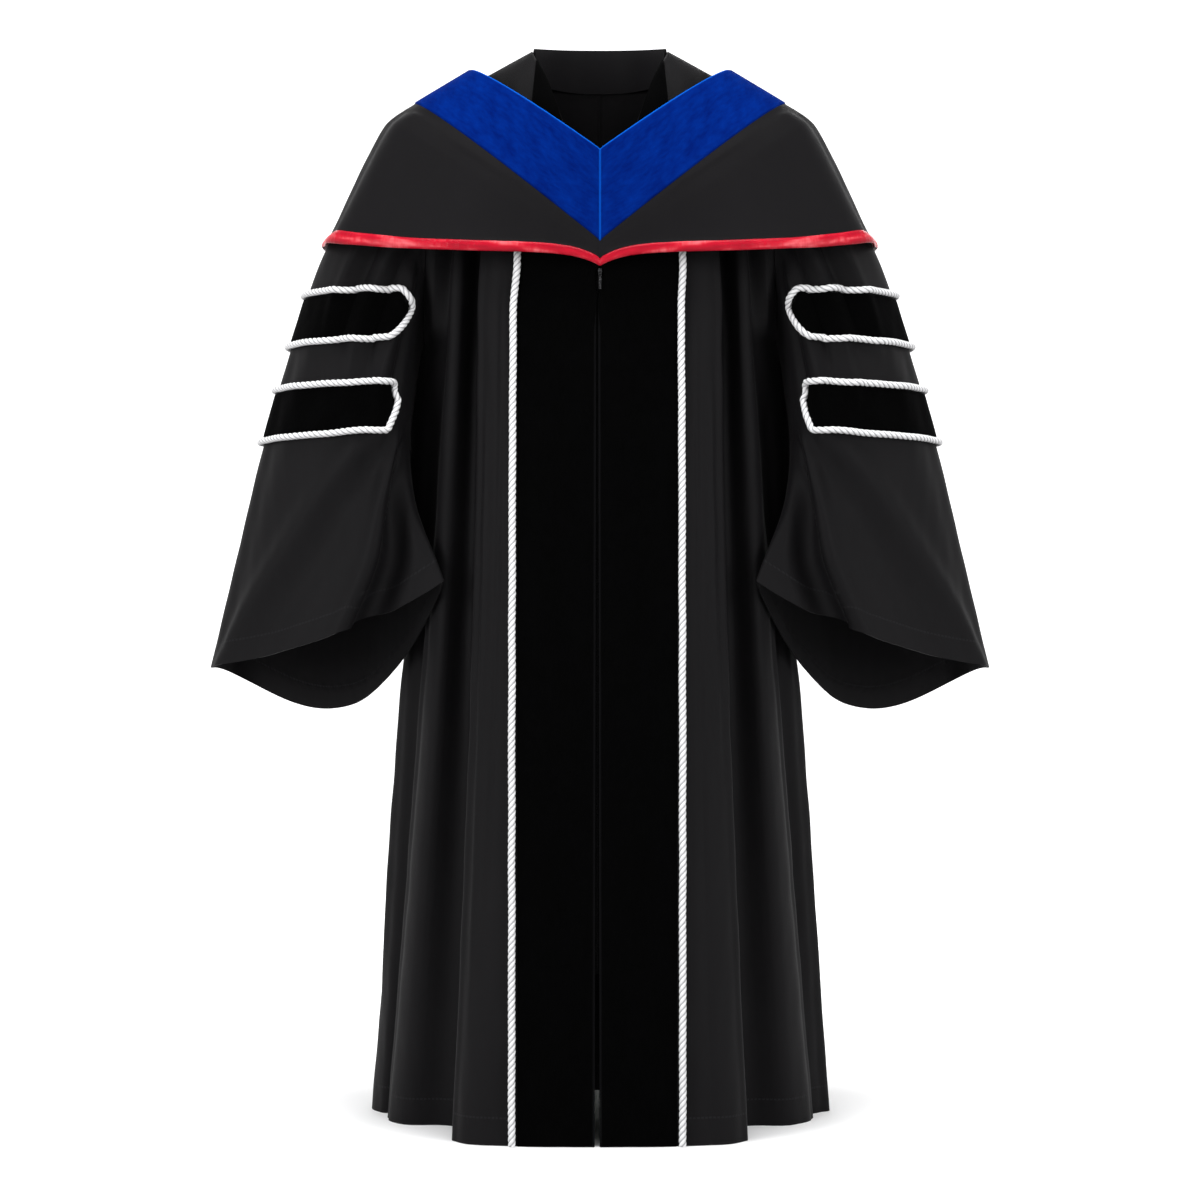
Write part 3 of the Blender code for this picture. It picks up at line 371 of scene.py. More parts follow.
def rounded(edge, reach=VELVET):
    """How far cloth has risen, from 0 at its edge to 1 at its full thickness."""
    return np.sqrt(1.0 - (1.0 - np.clip(edge / reach, 0.0, 1.0)) ** 2)


def mirrored(side):
    """What turns the left half into a side's half."""
    return np.array((side, 1.0, 1.0))


def read_points(spots, along, points):
    """Points read between their neighbours at spots along a line."""
    return np.stack([np.interp(spots, along, points[:, axis]) for axis in range(3)], axis=1)


def curve_through(knots, points, places, steady=False):
    """Read a smooth curve through points at the given places between its knots."""
    step = np.diff(knots)[:, None]
    chord = np.diff(points, axis=0) / step
    slope = np.empty_like(points)
    slope[1:-1] = (chord[:-1] * step[1:] + chord[1:] * step[:-1]) / (step[:-1] + step[1:])
    if steady:
        product = chord[:-1] * chord[1:]
        total = chord[:-1] + chord[1:]
        slope[1:-1] = np.where(product > 0.0, 2.0 * product / np.where(total == 0.0, 1.0, total), 0.0)
    slope[0] = chord[0]
    slope[-1] = chord[-1]
    span = np.clip(np.searchsorted(knots, places, side="right") - 1, 0, len(step) - 1)
    width = step[span]
    share = (places - knots[span])[:, None] / width
    rest = 1.0 - share
    return (points[span] * (1.0 + 2.0 * share) * rest ** 2
            + slope[span] * width * share * rest ** 2
            + points[span + 1] * (3.0 - 2.0 * share) * share ** 2
            - slope[span + 1] * width * share ** 2 * rest)


def grid(rows, columns):
    """Two grids, of the row values and of the column values."""
    return np.meshgrid(rows, columns, indexing="ij")


def spaced(*ends_and_counts):
    """Values from one end to the next, with a count of steps between each two ends."""
    values = [float(ends_and_counts[0])]
    for start, count, end in zip(ends_and_counts[0::2], ends_and_counts[1::2], ends_and_counts[2::2]):
        values.extend(np.linspace(start, end, count + 1)[1:])
    return np.array(values)


def grid_normals(points, middle, closed=False):
    """Unit normals at the points of a grid, from the cells round each, away from a middle point."""
    around = np.concatenate((points[:, -1:], points, points[:, :1]), axis=1) if closed else points
    cells = unit(np.cross(around[1:, 1:] - around[:-1, :-1], around[1:, :-1] - around[:-1, 1:]))
    total = np.zeros_like(around)
    for rows in (slice(None, -1), slice(1, None)):
        for columns in (slice(None, -1), slice(1, None)):
            total[rows, columns] += cells
    normal = unit(total[:, 1:-1] if closed else total)
    return normal * np.sign((normal * (points - middle)).sum(axis=-1).mean())


def creases(table, side, places, lines, edge, span=None):
    """How far the creases of one side lift the cloth. Those that pass the edge don't fade there."""
    lift = np.zeros(places.shape)
    for crease in table:
        if crease.side != side:
            continue
        share = (places - crease.top) / (crease.low - crease.top)
        along = mix(crease.line_top, crease.line_low, share)
        away = lines - along
        if span:
            away = (away + span / 2.0) % span - span / 2.0
        fade = smooth(share * CREASE_RISE)
        if crease.low < edge:
            fade = fade * smooth((1.0 - share) * CREASE_FALL)
        lift += crease.height * hump(away, crease.width) * fade
    return lift


def ripple(points, size):
    """Small uneven waves that no cloth is without, from a few crossed sine waves."""
    x, y, z = (points[..., axis] for axis in range(3))
    waves = (np.sin(x * 61.0 + z * 17.0 + 1.3) * np.sin(z * 23.0 - y * 31.0 + 0.4)
             + 0.6 * np.sin(x * 113.0 - y * 87.0 + z * 29.0 + 2.1) * np.sin(z * 41.0 + x * 13.0)
             + 0.3 * np.sin(x * 197.0 + y * 151.0 - z * 53.0 + 0.7))
    return size * waves


# Surfaces of the body, the sleeves and the hood
def plan_section(height, lines):
    """Plan points of the body at one height below the chest, at the given line numbers."""
    drop = max(0.0, (CHEST_Z - height) / (CHEST_Z - HEM_Z))
    keys = []
    for line in BODY_LINES:
        spread = drop ** line.flare
        out = line.puff * math.sin(math.pi * min(1.0, drop / PUFF_END) ** PUFF_LEAN)
        keys.append((mix(line.chest_x, line.hem_x, spread) + out,
                     mix(line.chest_y, line.hem_y, spread) + PUFF_BACK * out))
    keys = [(-keys[1][0], keys[1][1])] + keys + [(-keys[-2][0], keys[-2][1])]
    keys = np.array(keys)
    gaps = np.sqrt(np.linalg.norm(np.diff(keys, axis=0), axis=1))
    knots = np.concatenate(([0.0], np.cumsum(gaps)))
    places = np.interp(lines + 1.0, np.arange(len(knots)), knots)
    return curve_through(knots, keys, places)


def back_neck(share):
    """Point of the back neckline, from the shoulder seam at 0 to the centre back at 1."""
    sine = math.sin(math.pi / 2.0 * share)
    across = math.copysign(abs(1.0 - share) ** NECK_ROUND, 1.0 - share)
    return NECK_X * across, BACK_NECK_Y * sine, mix(NECK_Z, BACK_NECK_Z, sine ** 1.5)


def top_edge(line):
    """End of one body line at the neck or the shoulder seam, and how upright it arrives there."""
    if line <= CORD_LINE:
        share = max(0.0, line)
        point = (mix(EDGE_TOP_X, NECK_X, line), mix(EDGE_TOP_Y, 0.0, share ** 1.8),
                 mix(LENS_TOP_Z, NECK_Z, share ** 0.67))
        return point, 1.0 - share
    if line >= BACK_NECK:
        share = (line - BACK_NECK) / (BACK_LINE - BACK_NECK)
        return back_neck(share), math.sin(math.pi / 2.0 * share)
    if line <= SIDE_LINE:
        share = (line - CORD_LINE) / (SIDE_LINE - CORD_LINE)
    else:
        share = (BACK_NECK - line) / (BACK_NECK - SIDE_LINE)
    x = mix(NECK_X, TIP_X, share)
    return (x, 0.0, np.interp(x, (NECK_X, SHOULDER_MID_X, TIP_X), (NECK_Z, SHOULDER_MID_Z, TIP_Z))), 0.0


def upper_lines(lines):
    """Start, top, and the directions at both ends, of the body lines above the chest."""
    step = 0.02
    chest = plan_section(CHEST_Z, lines)
    slope = (chest - plan_section(CHEST_Z - step, lines)) / step
    tops = [top_edge(line) for line in lines]
    top = np.array([point for point, _ in tops])
    upright = np.array([amount for _, amount in tops])
    start = np.column_stack((chest, np.full(len(lines), CHEST_Z)))
    rise = top[:, 2] - CHEST_Z
    leave = np.column_stack((slope * rise[:, None] * 0.5, rise * CHEST_RISE))
    level = TOP_LEVEL * (top[:, 1] - start[:, 1])
    arrive = np.column_stack((np.zeros(len(lines)), level, upright * rise))
    return start, top, leave, arrive


def arc(start, top, leave, arrive, up):
    """Point of each upper body line, from the chest at 0 to its top at 1."""
    rest = 1.0 - up
    return (start * (1.0 + 2.0 * up) * rest ** 2 + leave * up * rest ** 2
            + top * (3.0 - 2.0 * up) * up ** 2 - arrive * up ** 2 * rest)


def armhole_edge(up, front):
    """Edge of the body at the armhole, as high as the upper body lines are at this place."""
    climb = up * up * (3.0 - 2.0 * up) + CHEST_RISE * up * (1.0 - up) ** 2
    turn = math.acos(min(1.0, max(-1.0, 2.0 * climb - 1.0)))
    turn = turn if front else 2.0 * math.pi - turn
    point = sleeve_form(np.array([[0.0]]), np.array([[turn]]))[0, 0]
    return point - np.array((ARMHOLE_GAP, 0.0, ARMHOLE_GAP * (1.0 - up)))


def body_form(places, lines):
    """Smooth form of one half of the body. Place -1 is the top edge, 0 the chest, 1 the hem."""
    result = np.empty(places.shape + (3,))
    row_lines = lines[0]
    ends = upper_lines(row_lines)
    seam_ends = upper_lines(np.array([float(SIDE_LINE)]))
    near_seam = np.clip(1.0 - np.abs(row_lines - SIDE_LINE) / ARMHOLE_REACH, 0.0, 1.0)
    near_seam = near_seam[:, None] ** ARMHOLE_PULL
    front = row_lines[:, None] <= SIDE_LINE
    for row, place in enumerate(places[:, 0]):
        if place > 0.0:
            height = mix(CHEST_Z, HEM_Z, place)
            result[row, :, :2] = plan_section(height, row_lines)
            result[row, :, 2] = height
        else:
            seam = arc(*seam_ends, -place)[0]
            draw = np.where(front, armhole_edge(-place, True) - seam, armhole_edge(-place, False) - seam)
            result[row] = arc(*ends, -place) + near_seam * draw
    return result


def hang(points, side, lines):
    """Mirror a half to its side, part the zip's top and let the front hang a little askew."""
    placed = points.copy()
    height = points[..., 2]
    front = np.clip(1.0 - (lines - CORD_LINE) / 2.0, 0.0, 1.0)
    near_edge = np.clip(1.0 - lines, 0.0, 1.0)
    spread = LENS_SPREAD * smooth((height - LENS_END_Z) / LENS_EASE) * near_edge
    sway = SWAY * smooth((LENS_TOP_Z - height) / SWAY_REACH) * front
    placed[..., 0] = side * (points[..., 0] + spread) + sway
    return placed


def sleeve_form(places, turns):
    """Smooth form of the left sleeve, by the place along it and the turn round it."""
    table = np.array(SLEEVE_LOOPS, dtype=float)
    keys = curve_through(np.linspace(0.0, 1.0, len(table)), table, places[:, 0])
    (outer_x, outer_z, inner_x, inner_y, inner_z, front, back, front_drop, back_drop, back_full,
     fold_turn, fold_depth, gather) = [keys[:, number][:, None] for number in range(keys.shape[1])]
    ahead = np.sin(turns)
    behind = ahead < 0.0
    outward = np.clip((1.0 + np.cos(turns)) / 2.0, 0.0, 1.0)
    outward = np.where(behind, outward ** back_full, outward)
    x = mix(inner_x, outer_x, outward)
    z = mix(inner_z, outer_z, outward)
    z = z - np.where(behind, back_drop, front_drop) * np.sin(math.pi * outward ** DROP_LEAN)
    middle_y = inner_y * 0.5
    depth = np.where(behind, back - middle_y, -front - middle_y)
    y = inner_y * (1.0 - outward) + depth * np.abs(ahead) ** LOOP_ROUND
    fold_start = np.radians(fold_turn)
    past = np.clip((turns - fold_start) / (math.pi - fold_start), 0.0, 1.0)
    y = y + fold_depth * np.sin(math.pi * past ** SLEEVE_FOLD_REACH)
    degrees = np.degrees(turns)
    for turn in GATHER_TURNS:
        for centre in (turn, 360 - turn):
            y = y + gather * hump(degrees - centre, GATHER_WIDTH) * np.where(behind, 1.0, -1.0)
    return np.stack((x, y, z), axis=-1)


def hood_form(places, turns):
    """Smooth form of the left half of the hood. Places count the rings, turn 0 is the front."""
    result = np.empty(places.shape + (3,))
    table = np.array(HOOD_RINGS, dtype=float)
    for row, place in enumerate(places[:, 0]):
        keys = curve_through(np.arange(len(table), dtype=float), table, np.array([place]), steady=True)[0]
        ring = Ring(*keys)
        sine = np.abs(np.sin(turns[row])) ** (2.0 / ring.roundness)
        cosine = np.abs(np.cos(turns[row])) ** (2.0 / ring.roundness)
        back = turns[row] > math.pi / 2.0
        x = ring.side_x * sine
        y = np.where(back, ring.back_y, ring.front_y) * cosine
        centre_z = np.where(back, ring.back_z, ring.front_z)
        z = mix(centre_z, ring.side_z, sine ** ring.bow) - ring.dip * np.exp(-x / DIP_REACH)
        result[row] = np.stack((x, y, z), axis=-1)
    return result


# Materials
class Amount:
    """A number that changes over a surface, so that its maths reads as plain maths."""

    def __init__(self, finish, socket):
        self.finish = finish
        self.socket = socket

    def maths(self, operation, *values):
        return self.finish.maths(operation, *values)

    def __add__(self, other):
        return self.maths("ADD", self, other)

    def __sub__(self, other):
        return self.maths("SUBTRACT", self, other)

    def __mul__(self, other):
        return self.maths("MULTIPLY", self, other)

    def __abs__(self):
        return self.maths("ABSOLUTE", self)

    def __lt__(self, other):
        return self.maths("LESS_THAN", self, other)

    def __gt__(self, other):
        return self.maths("GREATER_THAN", self, other)

    def sine(self):
        return self.maths("SINE", self)

    def clamped(self):
        return self.maths("MINIMUM", self.maths("MAXIMUM", self, 0.0), 1.0)

    __radd__ = __add__
    __rmul__ = __mul__


class Finish:
    """One material, built from nodes round its main shader."""

    def __init__(self, name, **settings):
        self.material = bpy.data.materials.new(name)
        self.material.use_nodes = True
        self.shader = self.material.node_tree.nodes["Principled BSDF"]
        self.map = None
        for socket, value in settings.items():
            self.shader.inputs[socket.replace("_", " ")].default_value = value

    def node(self, kind, settings=(), **sockets):
        """Add a node, with its settings first and then the values or links of its sockets."""
        node = self.material.node_tree.nodes.new(kind)
        for setting, value in dict(settings).items():
            setattr(node, setting, value)
        for name, value in sockets.items():
            name = name.replace("_", " ")
            self.join(node.inputs[int(name[1:]) if name[1:].isdigit() else name], value)
        return node

    def join(self, socket, value):
        """Give a socket a link or a plain value."""
        if isinstance(value, Amount):
            value = value.socket
        if isinstance(value, bpy.types.NodeSocket):
            self.material.node_tree.links.new(value, socket)
        else:
            socket.default_value = value

    def maths(self, operation, *values):
        sockets = {f"i{number}": value for number, value in enumerate(values)}
        return Amount(self, self.node("ShaderNodeMath", {"operation": operation}, **sockets).outputs[0])

    def own_map(self):
        """Metres across and along the cloth, from the piece's own map."""
        if self.map is None:
            spot = self.node("ShaderNodeSeparateXYZ", Vector=self.node("ShaderNodeUVMap").outputs["UV"])
            self.map = Amount(self, spot.outputs[0]), Amount(self, spot.outputs[1])
        return self.map

    def place(self):
        """Metres along the three axes."""
        spot = self.node("ShaderNodeSeparateXYZ", Vector=self.node("ShaderNodeTexCoord").outputs["Object"])
        return [Amount(self, spot.outputs[axis]) for axis in range(3)]

    def point(self, x, y, z=0.0):
        return self.node("ShaderNodeCombineXYZ", i0=x, i1=y, i2=z).outputs[0]

    def cloudy(self, vector, scale, detail=2.0, roughness=0.5):
        """Soft uneven patches from 0 to 1."""
        noise = self.node("ShaderNodeTexNoise", Vector=vector, Scale=scale, Detail=detail,
                          Roughness=roughness)
        return Amount(self, noise.outputs["Fac"])

    def patches(self, across, along, detail=3.0, roughness=0.5):
        """Soft uneven patches on the cloth, by how many there are to a metre across and along it."""
        metres_across, metres_along = self.own_map()
        return self.cloudy(self.point(metres_across * across, metres_along * along), 1.0, detail, roughness)

    def spread(self, amount, low, high, to_low=0.0, to_high=1.0):
        """Stretch a range of an amount over another range, cut off at its ends."""
        mapped = self.node("ShaderNodeMapRange", {"clamp": True}, i0=amount, i1=low, i2=high,
                           i3=to_low, i4=to_high)
        return Amount(self, mapped.outputs[0])

    def blend(self, share, first, second):
        """Go from one colour to another by a share."""
        mixed = self.node("ShaderNodeMix", {"data_type": "RGBA"}, i0=share, i6=first, i7=second)
        return mixed.outputs[2]

    def relief(self, *layers):
        """Bump from layers of height, each with its depth in metres."""
        total = None
        for height, depth in layers:
            total = height * depth if total is None else total + height * depth
        bump = self.node("ShaderNodeBump", Strength=1.0, Distance=1.0, Height=total)
        self.join(self.shader.inputs["Normal"], bump.outputs[0])

    def colour(self, value):
        self.join(self.shader.inputs["Base Color"], value)

    def rough(self, value):
        self.join(self.shader.inputs["Roughness"], value)


def shade(red, green, blue):
    """A colour as the shader takes it."""
    return (red, green, blue, 1.0)


ROBE_DARK = shade(0.0023, 0.0021, 0.0025)
ROBE_LIGHT = shade(0.0043, 0.0039, 0.0045)
CAPE_DARK = shade(0.0022, 0.0019, 0.0024)
CAPE_LIGHT = shade(0.0043, 0.0038, 0.0046)
NO_HEM = -1.0


def robe_cloth(name, dark, light, hem):
    """Fine charcoal cloth with upright slubs, and a stitched line where the hem is turned up."""
    finish = Finish(name, Sheen_Weight=0.014, Sheen_Roughness=0.35, Specular_IOR_Level=0.08)
    across, along = finish.own_map()
    slub = finish.patches(900.0, 110.0)
    wear = finish.patches(9.0, 3.0)
    twill = (across * 5200.0 + along * 5200.0).sine() * 0.5 + 0.5
    line = abs(along - hem) < 0.0011
    stitch = ((across * 1250.0).sine() > -0.35) * line
    pucker = (across * 420.0).sine() * finish.spread(abs(along - hem), 0.0, 0.010, 1.0, 0.0)
    tone = (slub * 0.45 + wear * 0.55).clamped()
    base = finish.blend(finish.spread(tone, 0.3, 0.7), dark, light)
    finish.colour(finish.blend(stitch * 0.24, base, shade(0.030, 0.030, 0.033)))
    finish.rough(0.58 + slub * 0.14)
    finish.relief((slub, 0.00016), (twill, 0.00005), (pucker, 0.00012), (line, -0.00025), (stitch, 0.00015))
    return finish.material


def velvet_cloth(name, dark, light, nap, sheen, tint):
    """Velvet with brushed patches, a fine pile and a painted highlight at its edges, standing in for sheen on
    the rolled edge.
    """
    finish = Finish(name, Sheen_Weight=sheen, Sheen_Roughness=0.38, Sheen_Tint=tint, Specular_IOR_Level=0.02)
    across = finish.own_map()[0]
    brushed = finish.patches(30.0, 22.0, 4.0, 0.6)
    streak = finish.patches(150.0, 60.0)
    pile = finish.patches(1500.0, 1500.0, 2.0)
    tone = finish.spread(brushed * 0.65 + streak * 0.35, 0.36, 0.64)
    base = finish.blend(tone * nap + pile * 0.15, dark, light)
    # Painted highlight: the velvet is painted lighter within about 1 to 3.4 mm of the edge where its map
    # starts across (the zip edge of the facing), as if the rolled edge caught the light.
    edge = finish.spread(across, 0.0010, 0.0034, 1.0, 0.0)
    finish.colour(finish.blend(edge * 0.5, base, shade(0.009, 0.009, 0.010)))
    finish.rough(0.80 + pile * 0.18)
    finish.relief((pile, 0.00035), (streak, 0.0004), (brushed, 0.0012))
    return finish.material


def hood_velvet_cloth():
    """Blue velvet of the hood, with painted highlights on its turned edges and along the mitred seam."""
    finish = Finish("hood_blue_velvet", Sheen_Weight=0.07, Sheen_Roughness=0.35,
                    Sheen_Tint=shade(0.0, 0.25, 1.0), Specular_IOR_Level=0.01)
    along = finish.own_map()[1]
    seam_away = abs(finish.place()[0])
    brushed = finish.patches(26.0, 34.0, 4.0, 0.6)
    streak = finish.patches(70.0, 190.0)
    pile = finish.patches(1500.0, 1500.0, 2.0)
    tone = finish.spread(brushed * 0.6 + streak * 0.4, 0.34, 0.66)
    base = finish.blend(tone * 0.8 + pile * 0.12, shade(0.0001, 0.0066, 0.103), shade(0.0002, 0.020, 0.205))
    # Painted highlights: lighter blue within about 0.6 to 2.8 mm of the edge where its map starts along, and
    # within about 0.4 to 1.8 mm of the mitred seam at the centre, standing in for sheen where the pile turns.
    edge = finish.spread(along, 0.0006, 0.0028, 1.0, 0.0) * 0.9
    seam = finish.spread(seam_away, 0.0004, 0.0018, 1.0, 0.0) * 0.55
    finish.colour(finish.blend((edge + seam).clamped(), base, shade(0.003, 0.110, 0.600)))
    finish.rough(0.76 + pile * 0.18)
    finish.relief((pile, 0.00035), (streak, 0.0004), (brushed, 0.0010))
    return finish.material


def trim_satin():
    """Red satin with painted sheen: patches painted darker and lighter red, and pale painted highlights where
    it is puckered.
    """
    finish = Finish("trim_red_satin", Sheen_Weight=0.02, Sheen_Roughness=0.3, Sheen_Tint=shade(1.0, 0.5, 0.5),
                    Coat_Roughness=0.18, Specular_IOR_Level=0.12)
    along = finish.own_map()[1]
    # Painted sheen: these patches set where the satin is painted a lighter red, and with the puckers where it
    # gets pale pink highlights.
    lights = finish.patches(13.0, 70.0, 2.0)
    pucker = finish.patches(150.0, 60.0)
    thread = (along * 9000.0).sine() * 0.5 + 0.5
    # Painted highlight: pale pink where a light patch meets a pucker crest.
    pale = finish.spread(lights, 0.50, 0.62) * finish.spread(pucker, 0.30, 0.58)
    base = finish.blend(finish.spread(lights, 0.35, 0.6), shade(0.34, 0.0007, 0.013),
                        shade(0.62, 0.0035, 0.023))
    finish.colour(finish.blend(pale * 0.70, base, shade(0.84, 0.17, 0.19)))
    finish.rough(0.24 + pucker * 0.16)
    finish.join(finish.shader.inputs["Coat Weight"], 0.02 + pucker * 0.05)
    finish.relief((pucker, 0.0012), (thread, 0.00003))
    return finish.material


def cord_finish():
    """White twisted cord: fine threads across each strand, and a little grey painted deep between strands as
    shade.
    """
    finish = Finish("twisted_white_cord", Sheen_Weight=0.2, Sheen_Roughness=0.4, Specular_IOR_Level=0.4)
    around, along = finish.own_map()
    lap = around * (math.pi * STRANDS) + along * (math.pi * STRANDS / CORD_PITCH)
    # Painted shade: grey deep between the strands, white on their crowns, in step with the strands of the
    # geometry.
    painted_groove_shade = finish.spread(abs(finish.maths("COSINE", lap)), 0.05, 0.75)
    thread = ((along * 4200.0 - around * 40.0).sine()) * 0.5 + 0.5
    fuzz = finish.cloudy(finish.point(around * 30.0, along * 1200.0), 1.0, 2.0)
    finish.colour(finish.blend(painted_groove_shade, shade(0.36, 0.36, 0.38), shade(0.97, 0.97, 0.98)))
    finish.rough(0.5 + fuzz * 0.25)
    finish.relief((thread, 0.00012), (fuzz, 0.0002))
    return finish.material


def tape_finish():
    """Woven black tape of the zip."""
    finish = Finish("zip_woven_tape", Sheen_Weight=0.01, Specular_IOR_Level=0.04)
    across, along = finish.own_map()
    rib = (along * 5000.0).sine() * 0.5 + 0.5
    wale = (across * 4200.0).sine() * 0.5 + 0.5
    finish.colour(finish.blend(rib * wale, shade(0.0008, 0.0008, 0.0009), shade(0.0030, 0.0030, 0.0032)))
    finish.rough(0.7 + rib * 0.15)
    finish.relief((rib, 0.00008), (wale, 0.00006))
    return finish.material


def metal_finish():
    """Dark painted zip metal, worn bright on a few spots."""
    finish = Finish("zip_dark_metal", Specular_IOR_Level=0.5)
    x, y, z = finish.place()
    spots = finish.cloudy(finish.point(x, y, z), 900.0, 3.0)
    worn = finish.spread(spots, 0.58, 0.68)
    finish.colour(finish.blend(worn, shade(0.012, 0.012, 0.013), shade(0.10, 0.10, 0.105)))
    finish.rough(0.30 + spots * 0.2)
    finish.join(finish.shader.inputs["Metallic"], 0.85 + worn * 0.15)
    finish.relief((spots, 0.00004))
    return finish.material


def coil_finish():
    """Black moulded coil of the zip's teeth."""
    finish = Finish("zip_black_coil", Specular_IOR_Level=0.04)
    spots = finish.cloudy(finish.point(*finish.place()), 700.0, 3.0)
    finish.colour(finish.blend(spots, shade(0.0008, 0.0008, 0.0009), shade(0.0028, 0.0028, 0.0030)))
    finish.rough(0.5 + spots * 0.2)
    finish.relief((spots, 0.00003))
    return finish.material


# Meshes
def make_piece(name, points, faces, corner_map, material, sharp=55.0):
    """Make one object of four-sided faces, turned outwards, with its own map in metres."""
    points = np.asarray(points, dtype=float).reshape(-1, 3)
    corners = points[faces]
    volume = (corners[:, 0] * np.cross(corners[:, 1], corners[:, 2])).sum()
    volume += (corners[:, 0] * np.cross(corners[:, 2], corners[:, 3])).sum()
    if volume < 0.0:
        faces = faces[:, ::-1]
        corner_map = corner_map[:, ::-1]
    mesh = bpy.data.meshes.new(name)
    mesh.from_pydata(points.tolist(), [], faces.tolist())
    mesh.uv_layers.new(name="cloth_map").data.foreach_set("uv", corner_map.reshape(-1).astype(np.float32))
    mesh.materials.append(material)
    mesh.shade_smooth()
    mesh.set_sharp_from_angle(angle=math.radians(sharp))
    piece = bpy.data.objects.new(name, mesh)
    bpy.context.scene.collection.objects.link(piece)
    return piece


def cell_faces(shape, rows, columns, cloth_map):
    """Faces of the cells of a grid of points, which may close on itself, and their corners on its map."""
    row, column = grid(np.arange(rows), np.arange(columns))
    ahead = (row + 1) % shape[0]
    after = (column + 1) % shape[1]
    faces = np.stack((row * shape[1] + column, row * shape[1] + after, ahead * shape[1] + after,
                      ahead * shape[1] + column), axis=-1).reshape(-1, 4)
    corners = np.stack((cloth_map[row, column], cloth_map[row, column + 1],
                        cloth_map[row + 1, column + 1], cloth_map[row + 1, column]), axis=2).reshape(-1, 4, 2)
    return faces, corners


def wall(name, outer, inner, cloth_map, material, closed=False):
    """A thin wall between two grids of points, closed round its columns where it is a tube."""
    rows, columns = outer.shape[:2]
    count = rows * columns
    skin, skin_map = cell_faces((rows, columns), rows - 1, columns if closed else columns - 1, cloth_map)
    faces = [skin, count + skin[:, ::-1]]
    maps = [skin_map, skin_map[:, ::-1]]
    side = np.arange(columns if closed else columns - 1)
    for number in (0, rows - 1):
        here = number * columns + side
        after = number * columns + (side + 1) % columns
        edge = np.stack((here, count + here, count + after, after), axis=-1)
        edge_map = np.stack((cloth_map[number, side], cloth_map[number, side],
                             cloth_map[number, side + 1], cloth_map[number, side + 1]), axis=1)
        faces.append(edge if number == 0 else edge[:, ::-1])
        maps.append(edge_map if number == 0 else edge_map[:, ::-1])
    if not closed:
        side = np.arange(rows - 1)
        for number in (0, columns - 1):
            here = side * columns + number
            after = here + columns
            edge = np.stack((here, after, count + after, count + here), axis=-1)
            edge_map = np.stack((cloth_map[side, number], cloth_map[side + 1, number],
                                 cloth_map[side + 1, number], cloth_map[side, number]), axis=1)
            faces.append(edge if number == 0 else edge[:, ::-1])
            maps.append(edge_map if number == 0 else edge_map[:, ::-1])
    points = np.concatenate((outer.reshape(-1, 3), inner.reshape(-1, 3)))
    return make_piece(name, points, np.concatenate(faces), np.concatenate(maps), material)


def swept(name, rings, cloth_map, material, closed=False, sharp=80.0):
    """A round or rounded length made of rings of points, capped at its ends unless it is a loop."""
    stations, around = rings.shape[:2]
    skin, skin_map = cell_faces((stations, around), stations if closed else stations - 1, around, cloth_map)
    faces = [skin]
    maps = [skin_map]
    if not closed:
        for base, turn in ((0, -1), ((stations - 1) * around, 1)):
            steps = np.arange(around // 2 - 1)
            cap = np.stack((steps, steps + 1, around - 2 - steps, around - 1 - steps), axis=-1)
            row = base // around
            faces.append((base + cap)[:, ::turn])
            maps.append(cloth_map[row, cap][:, ::turn])
    return make_piece(name, rings, np.concatenate(faces), np.concatenate(maps), material, sharp)


def lengths(points, axis):
    """Metres from the first point along one axis of a grid."""
    step = np.linalg.norm(np.diff(points, axis=axis), axis=-1)
    start = np.zeros_like(np.take(step, [0], axis=axis))
    return np.concatenate((start, np.cumsum(step, axis=axis)), axis=axis)


def even_path(path, normals, spacing, closed=False):
    """Points at an even spacing along a path, with the normals there."""
    if closed:
        path = np.concatenate((path, path[:1]))
        normals = np.concatenate((normals, normals[:1]))
    along = lengths(path, 0)
    count = max(8, round(along[-1] / spacing))
    spots = np.linspace(0.0, along[-1], count + 1)
    if closed:
        spots = spots[:-1]
    return read_points(spots, along, path), unit(read_points(spots, along, normals)), along[-1]


def twisted_cord(name, path, normals, radius, material, closed=False):
    """A cord of three strands laid round each other, along a path that lies on cloth."""
    places, upward, total = even_path(path, normals, CORD_SPACING, closed)
    count = len(places)
    if closed:
        ahead = np.roll(places, -1, axis=0) - np.roll(places, 1, axis=0)
    else:
        ahead = np.gradient(places, axis=0)
    ahead = unit(ahead)
    beside = unit(np.cross(ahead, upward))
    above = np.cross(beside, ahead)
    turns = 2.0 * math.pi * np.arange(CORD_SIDES) / CORD_SIDES
    twists = max(1, round(total / CORD_PITCH))
    laps = np.arange(count) / (count if closed else count - 1)
    phase = turns[None, :] + 2.0 * math.pi * twists * laps[:, None]
    crown = np.abs(np.cos(phase * STRANDS / 2.0)) ** STRAND_ROUND
    reach = radius * (1.0 - STRAND_DEPTH * (1.0 - crown))
    ring = (np.cos(turns)[None, :, None] * beside[:, None] + np.sin(turns)[None, :, None] * above[:, None])
    rings = places[:, None] + reach[..., None] * ring
    rows = count + 1 if closed else count
    mapped = np.empty((rows, CORD_SIDES + 1, 2))
    mapped[..., 0] = np.arange(CORD_SIDES + 1)[None, :] / CORD_SIDES
    mapped[..., 1] = (np.arange(rows) / (rows - 1) * twists * CORD_PITCH)[:, None]
    return swept(name, rings, mapped, material, closed)


def side_name(side):
    """Name of the wearer's side."""
    return "left" if side > 0 else "right"


def fit_out(piece, node, body="gown"):
    """Let a piece stand for its CAD node and ride on its body."""
    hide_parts(node)
    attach(piece, body)
    return piece


